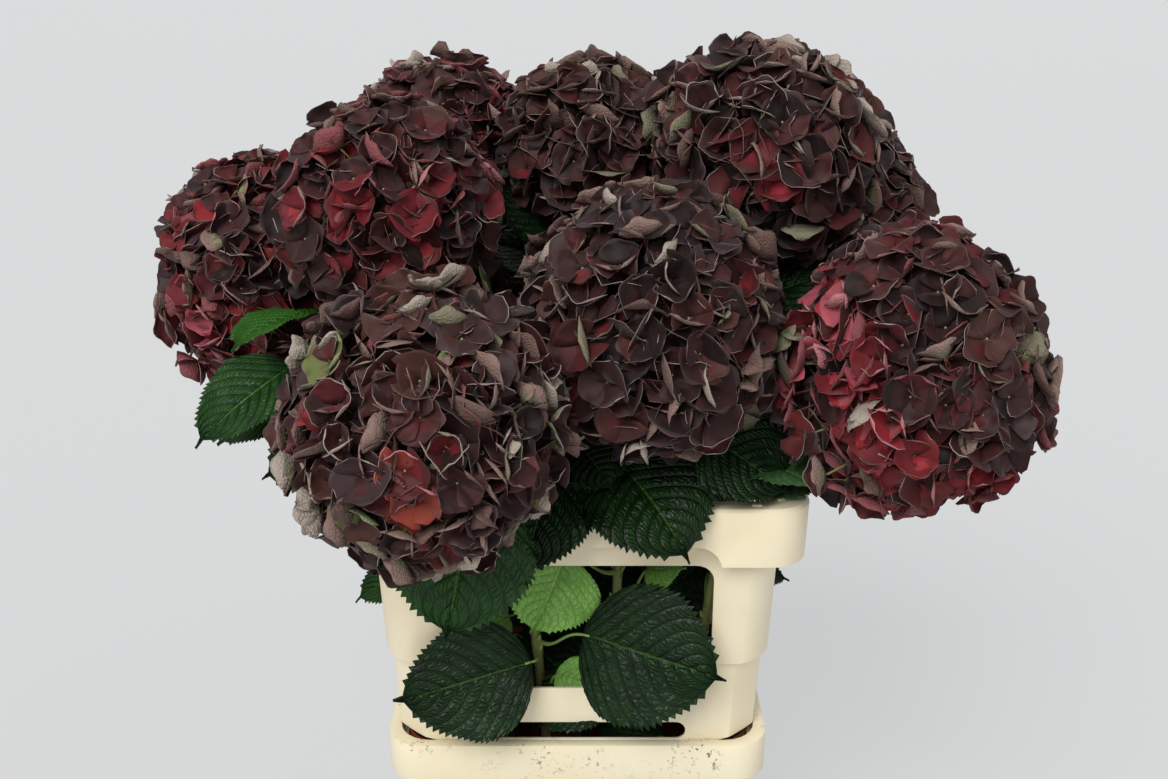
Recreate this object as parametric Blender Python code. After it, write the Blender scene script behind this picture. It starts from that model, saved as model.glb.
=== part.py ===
"""Cut hydrangea stems standing in a flower bucket with a taller, flared collar.

Metres, +Z up. The origin is the centre of the bucket's underside, and the front faces -Y.
"""

import math
import random
from collections import namedtuple

import bpy
from mathutils import Matrix, Vector
from mathutils.bvhtree import BVHTree

for old in list(bpy.data.objects):
    bpy.data.objects.remove(old)

GAP = 0.0003

# Bucket, outside half sizes along X and Y, and heights
BUCKET_FOOT = (0.149, 0.107)
BUCKET_NECK = (0.160, 0.116)
BUCKET_RIM = (0.1725, 0.1285)
BUCKET_HEIGHT = 0.250
BUCKET_LIP_DROP = 0.038
BUCKET_WALL = 0.003
BUCKET_FLOOR = 0.004
LEDGE_DEPTH = 0.0135
SEAT_PLAY = 0.0015

# Red-brown liner inside the bucket
LINER_WALL = 0.002
LINER_TOP = 0.244

# Collar, outside half sizes along X and Y, and heights
COLLAR_FOOT = (0.1605, 0.1165)
COLLAR_STEP = (0.1655, 0.1210)
COLLAR_STEP_OUT = 0.005
COLLAR_TOP = (0.1780, 0.1330)
COLLAR_RIM = (0.1970, 0.1500)
COLLAR_STEP_Z = 0.330
COLLAR_HEIGHT = 0.490
COLLAR_WALL = 0.0028
SKIRT_CORNER_Z = 0.437
SKIRT_MIDDLE_Z = 0.456
SKIRT_WALL = 0.003
SKIRT_RAISED = (0.108, 0.060)
FOOT_CORNER_REACH = 0.035
FOOT_CORNER_RISE = (0.007, 0.037)

# Openings in the collar: half width, lowest and highest z, corner radius
FRONT_WINDOW = (0.1175, 0.304, 0.430, 0.015)
SIDE_WINDOW = (0.066, 0.304, 0.430, 0.015)
FOOT_SLOT = (0.0975, 0.250, 0.268, 0.009)

# Stems
STEM_BASE_RADIUS = 0.0046
STEM_TIP_RADIUS = 0.0034
STEM_SIDES = 6
STEM_FOOT_Z = BUCKET_FLOOR + LINER_WALL + 3 * GAP

# Flower heads
CORE_SHARE = 0.62
STUB_SHARE = 0.86
FLORET_AREA = 0.0042
FLORET_FILL = 0.46
FLORET_NOTCH = 0.62
PEDICEL_RADIUS = 0.0022
SPACE_MARGIN = 0.02

# Leaves
LEAF_THICKNESS = 0.0015
PETIOLE_RADIUS = 0.0017

# A head's stem stands at foot on the liner's floor and passes through collar near its top.
Head = namedtuple("Head", "name centre radius stretch foot collar")
ROUND = (1.0, 1.0, 1.0)
HEADS = (
    Head("front_left", (-0.114, -0.215, 0.593), 0.113, (1.0, 1.0, 1.03), (-0.014, -0.080), (-0.050, -0.103)),
    Head("centre", (0.061, -0.112, 0.641), 0.119, ROUND, (0.030, -0.060), (0.038, -0.085)),
    Head("right", (0.280, -0.142, 0.614), 0.118, (0.94, 0.94, 1.08), (0.095, -0.060), (0.135, -0.085)),
    Head("top_right", (0.168, 0.010, 0.762), 0.105, ROUND, (0.055, -0.010), (0.078, -0.010)),
    Head("back_right", (0.255, 0.125, 0.697), 0.096, ROUND, (0.095, 0.040), (0.128, 0.050)),
    Head("top_middle", (0.007, 0.085, 0.757), 0.086, ROUND, (0.000, 0.030), (0.002, 0.040)),
    Head("top_left", (-0.127, 0.125, 0.762), 0.083, ROUND, (-0.040, 0.040), (-0.056, 0.052)),
    Head("middle_left", (-0.165, -0.021, 0.718), 0.107, ROUND, (-0.060, -0.020), (-0.085, -0.020)),
    Head("far_left", (-0.297, 0.065, 0.648), 0.108, ROUND, (-0.110, 0.010), (-0.145, 0.015)),
    Head("back_middle", (0.002, 0.198, 0.625), 0.097, ROUND, (0.010, 0.075), (0.008, 0.100)),
    Head("back_low", (0.156, 0.200, 0.590), 0.092, ROUND, (0.060, 0.070), (0.090, 0.096)),
    Head("back_left", (-0.160, 0.185, 0.610), 0.098, ROUND, (-0.080, 0.060), (-0.105, 0.085)),
)

# A leaf's stalk leaves the named head's stem at height, and its blade runs from base to tip.
Leaf = namedtuple("Leaf", "name head height base tip face width arch")
LEAVES = (
    Leaf("window_right", "front_left", 0.336, (0.005, -0.137, 0.368), (0.130, -0.156, 0.334),
         (0.05, -1.0, 0.15), 0.128, 0.006),
    Leaf("window_left", "front_left", 0.326, (-0.040, -0.129, 0.336), (-0.161, -0.150, 0.308),
         (-0.05, -1.0, 0.25), 0.105, 0.006),
    Leaf("window_middle", "centre", 0.400, (-0.010, -0.112, 0.430), (-0.040, -0.122, 0.358),
         (0.1, -0.9, 0.3), 0.085, 0.003),
    Leaf("window_upper", "centre", 0.370, (0.062, -0.086, 0.405), (0.094, -0.112, 0.418),
         (0.1, -0.7, 0.6), 0.045, 0.002),
    Leaf("window_low", "front_left", 0.284, (-0.020, -0.099, 0.306), (0.028, -0.102, 0.290),
         (0.1, -0.9, 0.3), 0.045, 0.002),
    Leaf("window_small", "middle_left", 0.330, (-0.062, -0.075, 0.352), (-0.104, -0.098, 0.345),
         (0.0, -0.7, 0.7), 0.045, 0.002),
    Leaf("slot", "right", 0.215, (0.082, -0.091, 0.234), (0.012, -0.094, 0.247),
         (0.0, -0.6, 0.7), 0.030, 0.002),
    Leaf("rim_left", "front_left", 0.500, (-0.084, -0.162, 0.512), (-0.108, -0.184, 0.387),
         (-0.05, -1.0, 0.35), 0.122, 0.006),
    Leaf("rim_middle", "front_left", 0.490, (-0.018, -0.128, 0.522), (-0.045, -0.178, 0.442),
         (0.0, -0.8, 0.6), 0.090, 0.012),
    Leaf("rim_right", "centre", 0.490, (0.036, -0.118, 0.520), (0.092, -0.178, 0.455),
         (0.1, -0.7, 0.8), 0.118, 0.016),
    Leaf("under_centre", "centre", 0.506, (0.000, -0.118, 0.540), (0.030, -0.160, 0.512),
         (-0.1, -0.7, 0.8), 0.080, 0.006),
    Leaf("under_right", "right", 0.510, (0.100, -0.122, 0.552), (0.178, -0.140, 0.500),
         (0.1, -0.8, 0.7), 0.085, 0.006),
    Leaf("rim_corner", "right", 0.475, (0.140, -0.062, 0.500), (0.226, -0.058, 0.502),
         (0.1, -0.3, 0.9), 0.062, 0.010),
    Leaf("left_upper", "far_left", 0.565, (-0.236, -0.030, 0.628), (-0.284, -0.112, 0.618),
         (-0.3, -0.3, 1.0), 0.060, 0.006),
    Leaf("left_middle", "far_left", 0.535, (-0.250, -0.040, 0.582), (-0.325, -0.102, 0.527),
         (-0.3, -0.7, 0.7), 0.080, 0.008),
    Leaf("left_lower", "far_left", 0.515, (-0.245, 0.000, 0.544), (-0.328, -0.030, 0.502),
         (-0.3, -0.6, 0.8), 0.070, 0.006),
    Leaf("left_behind", "middle_left", 0.500, (-0.175, -0.085, 0.535), (-0.272, -0.102, 0.500),
         (-0.2, -0.9, 0.5), 0.085, 0.006),
    Leaf("side_left", "far_left", 0.350, (-0.128, -0.018, 0.382), (-0.212, -0.030, 0.345),
         (-0.2, -0.6, 0.8), 0.060, 0.004),
    Leaf("side_right", "right", 0.350, (0.128, -0.030, 0.380), (0.200, -0.030, 0.366),
         (0.1, -0.3, 1.0), 0.048, 0.003),
    Leaf("back_window_left", "back_left", 0.345, (-0.040, 0.139, 0.362), (-0.150, 0.156, 0.322),
         (-0.05, 1.0, 0.15), 0.110, 0.006),
    Leaf("back_window_right", "back_low", 0.335, (0.050, 0.139, 0.356), (0.148, 0.156, 0.318),
         (0.05, 1.0, 0.15), 0.105, 0.006),
    Leaf("back_rim_left", "back_left", 0.490, (-0.112, 0.130, 0.518), (-0.135, 0.190, 0.446),
         (-0.1, 0.8, 0.7), 0.105, 0.014),
    Leaf("back_rim_middle", "back_low", 0.480, (0.052, 0.136, 0.512), (0.046, 0.192, 0.436),
         (0.05, 0.8, 0.7), 0.110, 0.014),
    Leaf("back_corner", "back_right", 0.500, (0.158, 0.105, 0.530), (0.240, 0.150, 0.500),
         (0.3, 0.4, 0.9), 0.095, 0.008),
    Leaf("right_behind", "back_right", 0.485, (0.170, 0.030, 0.524), (0.262, 0.020, 0.494),
         (0.4, -0.1, 0.9), 0.090, 0.008),
)


def material(name, colour, roughness):
    made = bpy.data.materials.new(name)
    made.use_nodes = True
    shader = made.node_tree.nodes["Principled BSDF"]
    shader.inputs["Base Color"].default_value = (*colour, 1.0)
    shader.inputs["Roughness"].default_value = roughness
    shader.inputs["Metallic"].default_value = 0.0
    return made


CREAM = material("cream plastic", (0.84, 0.76, 0.58), 0.45)
RED_BROWN = material("red-brown plastic", (0.22, 0.05, 0.02), 0.5)
STEM_GREEN = material("stem green", (0.20, 0.24, 0.07), 0.6)
LEAF_GREEN = material("leaf green", (0.02, 0.08, 0.03), 0.5)
MAROON = material("dark maroon sepals", (0.06, 0.018, 0.022), 0.65)
CRIMSON = material("crimson sepals", (0.20, 0.012, 0.025), 0.6)
CRIMSON_HEADS = ("middle_left", "far_left", "right", "top_left")


def new_object(name, points, faces, look, collection=None):
    mesh = bpy.data.meshes.new(name)
    mesh.from_pydata([tuple(p) for p in points], [], faces)
    mesh.materials.append(look)
    made = bpy.data.objects.new(name, mesh)
    (collection or bpy.context.scene.collection).objects.link(made)
    return made


def smooth(made, degrees):
    made.data.shade_smooth()
    made.data.set_sharp_from_angle(angle=math.radians(degrees))


def loft(rings, closed=False):
    """Points and faces of a skin over rings of equal length, capped unless it closes on itself."""
    count = len(rings[0])
    points = [p for ring in rings for p in ring]
    faces = []
    last = len(rings) if closed else len(rings) - 1
    for row in range(last):
        below = row * count
        above = (row + 1) % len(rings) * count
        for i in range(count):
            j = (i + 1) % count
            faces.append((below + i, below + j, above + j, above + i))
    if not closed:
        faces.append(tuple(reversed(range(count))))
        faces.append(tuple(range(len(points) - count, len(points))))
    return points, faces


def rounded_ring(half, z, corner, flat=0.0, steps=4):
    """A rectangle with round corners. flat draws each corner's arc towards its chord."""
    ring = []
    for quarter, (sign_x, sign_y) in enumerate(((1, 1), (-1, 1), (-1, -1), (1, -1))):
        turn = quarter * math.pi / 2
        centre = Vector((sign_x * (half[0] - corner), sign_y * (half[1] - corner), z))
        start = Vector((math.cos(turn), math.sin(turn), 0))
        end = Vector((math.cos(turn + math.pi / 2), math.sin(turn + math.pi / 2), 0))
        for step in range(steps + 1):
            share = step / steps
            angle = turn + share * math.pi / 2
            arc = Vector((math.cos(angle), math.sin(angle), 0))
            chord = start.lerp(end, share)
            ring.append(centre + corner * arc.lerp(chord, flat))
    return ring


def inset(half, by):
    return (half[0] - by, half[1] - by)


def make_bucket():
    """The bucket: a tapered body, a ledge that carries the collar and a rim turned down outside."""
    top = BUCKET_HEIGHT
    ledge_z = top - LEDGE_DEPTH
    bowl = inset(BUCKET_NECK, BUCKET_WALL)
    seat = inset(COLLAR_FOOT, -SEAT_PLAY)
    shoulder = (seat[0] + BUCKET_WALL, seat[1] + BUCKET_WALL)
    lip = inset(BUCKET_RIM, BUCKET_WALL)
    rings = [
        rounded_ring(inset(BUCKET_FOOT, 0.003), 0.0, 0.025),
        rounded_ring(BUCKET_FOOT, 0.003, 0.028),
        rounded_ring(BUCKET_NECK, ledge_z - 0.006, 0.028),
        rounded_ring(shoulder, ledge_z - 0.002, 0.028),
        rounded_ring(shoulder, top - BUCKET_WALL, 0.028),
        rounded_ring(lip, top - BUCKET_WALL, 0.030),
        rounded_ring(lip, top - BUCKET_LIP_DROP, 0.030),
        rounded_ring(BUCKET_RIM, top - BUCKET_LIP_DROP, 0.032),
        rounded_ring(BUCKET_RIM, top - 0.0015, 0.032),
        rounded_ring(inset(BUCKET_RIM, 0.0015), top, 0.031),
        rounded_ring(seat, top, 0.026),
        rounded_ring(seat, ledge_z, 0.026),
        rounded_ring(bowl, ledge_z, 0.025),
        rounded_ring(inset(BUCKET_FOOT, BUCKET_WALL), BUCKET_FLOOR, 0.025),
    ]
    points, faces = loft(rings)
    smooth(new_object("bucket", points, faces, CREAM), 35)


def make_liner():
    """The liner: a thin red-brown bucket that stands inside the cream one."""
    foot = inset(BUCKET_FOOT, BUCKET_WALL + 0.0015)
    mouth = inset(BUCKET_NECK, BUCKET_WALL + 0.0012)
    floor_z = BUCKET_FLOOR + GAP
    rings = [
        rounded_ring(foot, floor_z, 0.0245),
        rounded_ring(mouth, LINER_TOP, 0.0245),
        rounded_ring(inset(mouth, LINER_WALL), LINER_TOP, 0.0225),
        rounded_ring(inset(foot, LINER_WALL), floor_z + LINER_WALL, 0.0225),
    ]
    points, faces = loft(rings)
    smooth(new_object("liner", points, faces, RED_BROWN), 35)


def cutter(name, points, faces, collection):
    made = new_object(name, points, faces, CREAM, collection)
    made.hide_render = True
    made.display_type = "WIRE"
    return made


def rounded_outline(half_width, low, high, radius, steps=3):
    """The outline of an upright opening, as pairs of a place across and a height."""
    middle = (low + high) / 2
    ring = rounded_ring((half_width, (high - low) / 2), 0.0, radius, steps=steps)
    return [(p.x, p.y + middle) for p in ring]


def prism(name, outline, start, end, axis, collection):
    """A cutter: an outline across and up, drawn from start to end along X or Y."""
    def place(across, along, up):
        return (across, along, up) if axis == "Y" else (along, across, up)

    rings = [[place(a, along, up) for a, up in outline] for along in (start, end)]
    if axis == "Y":
        rings.reverse()
    points, faces = loft(rings)
    return cutter(name, points, faces, collection)


def cut_foot_corner(corner, foot_z, cutters):
    """A cutter that takes the foot off one corner of the collar, rising outwards."""
    sign_x = 1 if corner % 2 else -1
    sign_y = 1 if corner > 1 else -1
    outward = Vector((sign_x, sign_y, 0)).normalized()
    along = Vector((-outward.y, outward.x, 0)) * FOOT_CORNER_REACH
    middle = Vector((sign_x * COLLAR_FOOT[0], sign_y * COLLAR_FOOT[1], foot_z))
    depth = Vector((0, 0, 0.02))
    rings = []
    for side, rise in ((-1, FOOT_CORNER_RISE[0]), (1, FOOT_CORNER_RISE[1])):
        centre = middle + side * FOOT_CORNER_REACH * outward
        top = Vector((0, 0, rise))
        near = centre - along
        far = centre + along
        rings.append([near - depth, far - depth, far + top, near + top])
    points, faces = loft(rings)
    cutter(f"foot_corner_{corner}", points, faces, cutters)


def make_collar():
    """The collar: a flared sleeve with a turned-down skirt, four windows and two slots."""
    foot_z = BUCKET_HEIGHT - LEDGE_DEPTH + GAP
    top = COLLAR_HEIGHT
    step_top = COLLAR_STEP_Z + 0.002
    above_step = (COLLAR_STEP[0] + COLLAR_STEP_OUT, COLLAR_STEP[1] + COLLAR_STEP_OUT)
    skirt_in = inset(COLLAR_RIM, SKIRT_WALL)
    skirt_foot = inset(COLLAR_RIM, 0.0015)
    rings = [
        rounded_ring(COLLAR_FOOT, foot_z, 0.024, 0.8),
        rounded_ring(COLLAR_STEP, COLLAR_STEP_Z, 0.026, 0.8),
        rounded_ring(above_step, step_top, 0.028, 0.5),
        rounded_ring(COLLAR_TOP, top - SKIRT_WALL, 0.030),
        rounded_ring(skirt_in, top - SKIRT_WALL, 0.030),
        rounded_ring(inset(skirt_foot, SKIRT_WALL), SKIRT_CORNER_Z, 0.030),
        rounded_ring(skirt_foot, SKIRT_CORNER_Z, 0.033),
        rounded_ring(COLLAR_RIM, top - 0.003, 0.033),
        rounded_ring(inset(COLLAR_RIM, 0.003), top, 0.030),
        rounded_ring(inset(COLLAR_TOP, COLLAR_WALL), top, 0.027),
        rounded_ring(inset(above_step, COLLAR_WALL), step_top + 0.001, 0.026, 0.5),
        rounded_ring(inset(COLLAR_STEP, COLLAR_WALL), COLLAR_STEP_Z - 0.001, 0.024, 0.8),
        rounded_ring(inset(COLLAR_FOOT, COLLAR_WALL), foot_z, 0.022, 0.8),
    ]
    points, faces = loft(rings, closed=True)
    collar = new_object("collar", points, faces, CREAM)
    cutters = bpy.data.collections.new("collar cutters")
    bpy.context.scene.collection.children.link(cutters)
    reach = 0.25
    prism("window_y", rounded_outline(*FRONT_WINDOW), -reach, reach, "Y", cutters)
    prism("window_x", rounded_outline(*SIDE_WINDOW), -reach, reach, "X", cutters)
    prism("slot_y", rounded_outline(*FOOT_SLOT), -reach, reach, "Y", cutters)
    low = SKIRT_CORNER_Z - 0.01
    rise = SKIRT_MIDDLE_Z - low
    for wide, near, axis in ((SKIRT_RAISED[0], COLLAR_TOP[1], "Y"), (SKIRT_RAISED[1], COLLAR_TOP[0], "X")):
        outline = [(-wide - rise, low), (wide + rise, low), (wide, SKIRT_MIDDLE_Z), (-wide, SKIRT_MIDDLE_Z)]
        start = near + 0.005
        prism("skirt_front_" + axis, outline, -reach, -start, axis, cutters)
        prism("skirt_back_" + axis, outline, start, reach, axis, cutters)
    for corner in range(4):
        cut_foot_corner(corner, foot_z, cutters)
    cut = collar.modifiers.new("openings", "BOOLEAN")
    cut.operand_type = "COLLECTION"
    cut.collection = cutters
    cut.operation = "DIFFERENCE"
    smooth(collar, 35)
    return collar


def reach_of(head, point):
    """How far out a point lies in a head: 0 at its centre and 1 at its outside."""
    away = Vector(point) - Vector(head.centre)
    return math.sqrt(sum((a / (head.radius * s)) ** 2 for a, s in zip(away, head.stretch)))


def entry_of(head):
    """The unit vector from a head's centre to where its stem comes in, from below and inside."""
    rim = Vector((*head.collar, 0.47))
    away = (rim - Vector(head.centre)).normalized()
    return (away + Vector((0, 0, 0.12))).normalized()


def stem_path(head, steps=9):
    """Points from the stem's cut foot to just outside its head, on one smooth curve."""
    foot = Vector((*head.foot, STEM_FOOT_Z))
    rim = Vector((*head.collar, 0.47))
    entry = entry_of(head)
    tip = Vector(head.centre) + STUB_SHARE * head.radius * entry
    rise = (tip - foot).normalized()
    lower = [foot, foot.lerp(rim, 0.35), rim - 0.35 * (rim - foot).length * rise, rim]
    span = (tip - rim).length
    upper = [rim, rim + 0.35 * span * rise, tip + 0.35 * span * entry, tip]
    path = []
    for part, keys in enumerate((lower, upper)):
        count = steps // 2 if part == 0 else steps - steps // 2
        for step in range(count + (1 if part else 0)):
            path.append(bezier(keys, step / count))
    return path


def bezier(keys, t):
    a, b, c, d = keys
    return (1 - t) ** 3 * a + 3 * t * (1 - t) ** 2 * b + 3 * t * t * (1 - t) * c + t ** 3 * d


def frames_along(path, start=None, end=None, first=(1, 0, 0)):
    """For each point of a path its direction and two axes across it that turn with it."""
    frames = []
    across = Vector(first)
    for i, point in enumerate(path):
        before = path[max(i - 1, 0)]
        after = path[min(i + 1, len(path) - 1)]
        along = (after - before).normalized()
        if start and i == 0:
            along = start
        if end and i == len(path) - 1:
            along = end
        across = (across - across.dot(along) * along).normalized()
        frames.append((point, along, across, along.cross(across)))
    return frames


def tube(path, radii, sides, start=None, end=None):
    """A round limb along a path. start and end turn its two flat ends."""
    rings = []
    for (point, _, across, up), radius in zip(frames_along(path, start, end), radii):
        ring = []
        for i in range(sides):
            angle = 2 * math.pi * i / sides
            ring.append(point + radius * (math.cos(angle) * across + math.sin(angle) * up))
        rings.append(ring)
    return loft(rings)


def stem_radius(share):
    return STEM_BASE_RADIUS + (STEM_TIP_RADIUS - STEM_BASE_RADIUS) * share


def make_stem(head):
    """A stem: one tapering limb from a flat cut on the liner's floor to its flower head."""
    path = stem_path(head)
    radii = [stem_radius(i / (len(path) - 1)) for i in range(len(path))]
    points, faces = tube(path, radii, STEM_SIDES, Vector((0, 0, 1)), -entry_of(head))
    smooth(new_object("stem_" + head.name, points, faces, STEM_GREEN), 60)


def stem_at(head, height):
    """The stem's centre, direction and radius where it passes a height."""
    path = stem_path(head)
    low = max(i for i in range(len(path) - 1) if path[i].z <= height)
    share = (height - path[low].z) / (path[low + 1].z - path[low].z)
    along = (path[low + 1] - path[low]).normalized()
    return path[low].lerp(path[low + 1], share), along, stem_radius((low + share) / (len(path) - 1))


def leaf_half_width(share):
    """A broad oval that narrows to a drawn-out tip, 1 at its widest."""
    body = math.sin(math.pi * min(share / 0.95, 1.0) ** 0.78) ** 0.72 if share < 0.95 else 0.0
    return max(body, 0.10 * (1 - share) / 0.05 if share > 0.9 else 0.0)


def make_leaf(leaf):
    """A leaf: a thin stalk from its stem and a blade lofted along its midrib, thin at its edges."""
    head = next(h for h in HEADS if h.name == leaf.head)
    axis, upward, radius = stem_at(head, leaf.height)
    base = Vector(leaf.base)
    tip = Vector(leaf.tip)
    along = (tip - base).normalized()
    face = Vector(leaf.face)
    face = (face - face.dot(along) * along).normalized()
    out = base - axis
    out = (out - out.dot(upward) * upward).normalized()
    root = axis + (radius + GAP) * out
    reach = (base - root).length
    bend = [root, root + 0.4 * reach * out, base - 0.3 * reach * along, base]
    stalk = [bezier(bend, t) for t in (0, 0.3, 0.65)]
    rings = []
    for point, _, across, up in frames_along(stalk, start=out, first=out.cross(upward)):
        rings.append([point - PETIOLE_RADIUS * across, point - PETIOLE_RADIUS * up,
                      point + PETIOLE_RADIUS * across, point + PETIOLE_RADIUS * up])
    side = along.cross(face)
    for share in (0.0, 0.12, 0.32, 0.55, 0.77, 0.92):
        middle = base.lerp(tip, share) + 4 * leaf.arch * share * (1 - share) * face
        half = max(leaf.width / 2 * leaf_half_width(share), PETIOLE_RADIUS)
        thick = max(LEAF_THICKNESS / 2, PETIOLE_RADIUS * (1 - share / 0.12))
        lift = 0.10 * half * face
        rings.append([middle - half * side + lift, middle + thick * face,
                      middle + half * side + lift, middle - thick * face])
    points, faces = loft(match_turn(rings))
    last = len(points) - 4
    faces.pop()
    points.append(tip)
    for i in range(4):
        faces.append((last + i, last + (i + 1) % 4, len(points) - 1))
    smooth(new_object("leaf_" + leaf.name, points, faces, LEAF_GREEN), 50)


def match_turn(rings):
    """Rings whose points each follow the ring before them, so that the skin doesn't twist."""
    matched = [rings[-1]]
    for ring in reversed(rings[:-1]):
        options = [ring[i:] + ring[:i] for i in range(len(ring))]
        backwards = ring[::-1]
        options += [backwards[i:] + backwards[:i] for i in range(len(ring))]
        after = matched[-1]
        matched.append(min(options, key=lambda o: sum((a - b).length for a, b in zip(o, after))))
    return matched[::-1]


def floret_points(foot, outward, spin, tilt, radius):
    """A floret's corners: a centre, four lobes with notches between them, and a stalk to foot."""
    turn = Matrix.Rotation(spin, 4, "Z") @ Matrix.Rotation(tilt, 4, "X")
    aim = outward.to_track_quat("Z", "Y").to_matrix().to_4x4()
    place = aim @ turn
    centre = foot[1]
    droop = 0.16 * radius
    points = [centre]
    for i in range(8):
        angle = i * math.pi / 4
        out = radius if i % 2 == 0 else FLORET_NOTCH * radius
        down = droop if i % 2 == 0 else 1.3 * droop
        local = Vector((out * math.cos(angle), out * math.sin(angle), -down))
        points.append(centre + place.to_3x3() @ local)
    for i in range(3):
        angle = i * 2 * math.pi / 3
        wide = 2 * PEDICEL_RADIUS
        local = Vector((wide * math.cos(angle), wide * math.sin(angle), -0.30 * radius))
        points.append(centre + place.to_3x3() @ local)
    points.append(foot[0])
    return points


FLORET_FACES = (
    [(0, 1 + i, 1 + (i + 1) % 8) for i in range(8)]
    + [(1 + (i + 1) % 8, 1 + i, 9 + k) for i, k in enumerate((0, 0, 0, 1, 1, 1, 2, 2))]
    + [(4, 9, 10), (7, 10, 11), (1, 11, 9)]
    + [(10, 9, 12), (11, 10, 12), (9, 11, 12)]
)


def tree_of(objects):
    points, faces = [], []
    for made in objects:
        start = len(points)
        points += [v.co.copy() for v in made.data.vertices]
        faces += [[start + i for i in p.vertices] for p in made.data.polygons]
    return BVHTree.FromPolygons(points, faces)


def make_head(head, obstacles):
    """A flower head: florets on stalks that stand out of a core, on a stub that meets the stem."""
    rng = random.Random("floret " + head.name)
    look = CRIMSON if head.name in CRIMSON_HEADS else MAROON
    centre = Vector(head.centre)
    pieces = bpy.data.collections.new("pieces of " + head.name)
    bpy.context.scene.collection.children.link(pieces)
    entry = entry_of(head)
    stub_end = centre + (STUB_SHARE * head.radius - GAP) * entry
    points, faces = tube([stub_end, centre + 0.3 * head.radius * entry], [STEM_TIP_RADIUS] * 2, STEM_SIDES)
    new_object("stub", points, faces, look, pieces)
    others = [h for h in HEADS if h.name != head.name]
    golden = math.pi * (3 - math.sqrt(5))
    shape = Vector(head.stretch) * head.radius
    count = round(4 * math.pi * head.radius ** 2 / FLORET_AREA)
    for i in range(count):
        height = 1 - 2 * (i + 0.5) / count
        angle = golden * i + rng.uniform(-0.12, 0.12)
        flat = math.sqrt(1 - height * height)
        unit = Vector((flat * math.cos(angle), flat * math.sin(angle), height))
        size = FLORET_FILL * math.sqrt(1.155 * FLORET_AREA) * rng.uniform(0.94, 1.06)
        spin = rng.uniform(0, math.pi / 2)
        tilt = rng.uniform(-0.22, 0.22)
        depth = 0.965 - 0.05 * (i % 2) + rng.uniform(-0.015, 0.015)
        middle = centre + depth * Vector(a * b for a, b in zip(shape, unit))
        foot = centre + 0.40 * Vector(a * b for a, b in zip(shape, unit))
        outward = Vector(a / b for a, b in zip(unit, shape)).normalized()
        corners = floret_points((foot, middle), outward, spin, tilt, size)
        if any(reach_of(o, p) < reach_of(head, p) + SPACE_MARGIN for p in corners[:12] for o in others):
            continue
        grown = [middle + 1.10 * (p - middle) for p in corners]
        if BVHTree.FromPolygons(grown, FLORET_FACES).overlap(obstacles):
            continue
        new_object("floret", corners, FLORET_FACES, look, pieces)
    bpy.ops.mesh.primitive_ico_sphere_add(subdivisions=2, radius=1.0, location=centre)
    made = bpy.context.object
    made.name = "head_" + head.name
    made.scale = CORE_SHARE * shape
    bpy.ops.object.transform_apply(location=True, rotation=False, scale=True)
    made.data.materials.append(look)
    join = made.modifiers.new("florets", "BOOLEAN")
    join.operand_type = "COLLECTION"
    join.collection = pieces
    join.operation = "UNION"
    join.solver = "MANIFOLD"
    bpy.context.view_layer.objects.active = made
    bpy.ops.object.modifier_apply(modifier=join.name)
    for piece in list(pieces.objects):
        bpy.data.objects.remove(piece)
    bpy.data.collections.remove(pieces)
    return made


def main():
    make_bucket()
    make_liner()
    collar = make_collar()
    for head in HEADS:
        make_stem(head)
    for leaf in LEAVES:
        make_leaf(leaf)
    still = [o for o in bpy.context.scene.objects if o.name.startswith(("stem_", "leaf_"))]
    obstacles = tree_of(still + [collar])
    for head in HEADS:
        make_head(head, obstacles)


main()
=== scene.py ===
"""The looks of cut hydrangea stems standing in a cream flower bucket with a taller, flared collar."""

import math
import random
from collections import namedtuple

import bmesh
import bpy
import numpy as np
from mathutils import Matrix, Vector


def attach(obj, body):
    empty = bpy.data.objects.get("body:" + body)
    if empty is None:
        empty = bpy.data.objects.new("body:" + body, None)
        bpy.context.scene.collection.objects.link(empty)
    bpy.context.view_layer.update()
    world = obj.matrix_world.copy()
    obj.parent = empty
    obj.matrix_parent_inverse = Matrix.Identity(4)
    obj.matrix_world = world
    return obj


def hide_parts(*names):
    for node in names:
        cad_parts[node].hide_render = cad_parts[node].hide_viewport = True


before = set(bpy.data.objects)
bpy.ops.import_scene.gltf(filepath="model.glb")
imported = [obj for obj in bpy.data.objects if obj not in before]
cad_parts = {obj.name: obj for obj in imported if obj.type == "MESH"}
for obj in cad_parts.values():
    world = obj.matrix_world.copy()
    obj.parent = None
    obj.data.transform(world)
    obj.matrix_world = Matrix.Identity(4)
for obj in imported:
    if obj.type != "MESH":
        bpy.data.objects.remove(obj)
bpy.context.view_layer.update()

# Bucket
# A square flower bucket, injection moulded in cream polypropylene: a body that tapers to a flat
# foot, a ledge inside its mouth that carries the collar, and a deep lip turned down outside.
# It has had years of use: grey scuffs, and black specks along the rim and at its corners.

# Levels of the wall, from the foot up outside and down again inside: half width, half depth, height.
BUCKET_LEVELS = (
    (0.146, 0.104, 0.0), (0.149, 0.107, 0.003), (0.160, 0.116, 0.2305), (0.1650, 0.1210, 0.2345),
    (0.1650, 0.1210, 0.247), (0.1695, 0.1255, 0.247), (0.1695, 0.1255, 0.212), (0.1725, 0.1285, 0.212),
    (0.1725, 0.1285, 0.250), (0.1620, 0.1180, 0.250), (0.1620, 0.1180, 0.2365), (0.1570, 0.1130, 0.2365),
    (0.1460, 0.1040, 0.004),
)


def tone(code):
    """A colour from its usual six-digit code, as the plain numbers that a shader takes."""
    parts = [int(code[i:i + 2], 16) / 255 for i in (1, 3, 5)]
    return tuple(p / 12.92 if p <= 0.04045 else ((p + 0.055) / 1.055) ** 2.4 for p in parts) + (1.0,)


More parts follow.
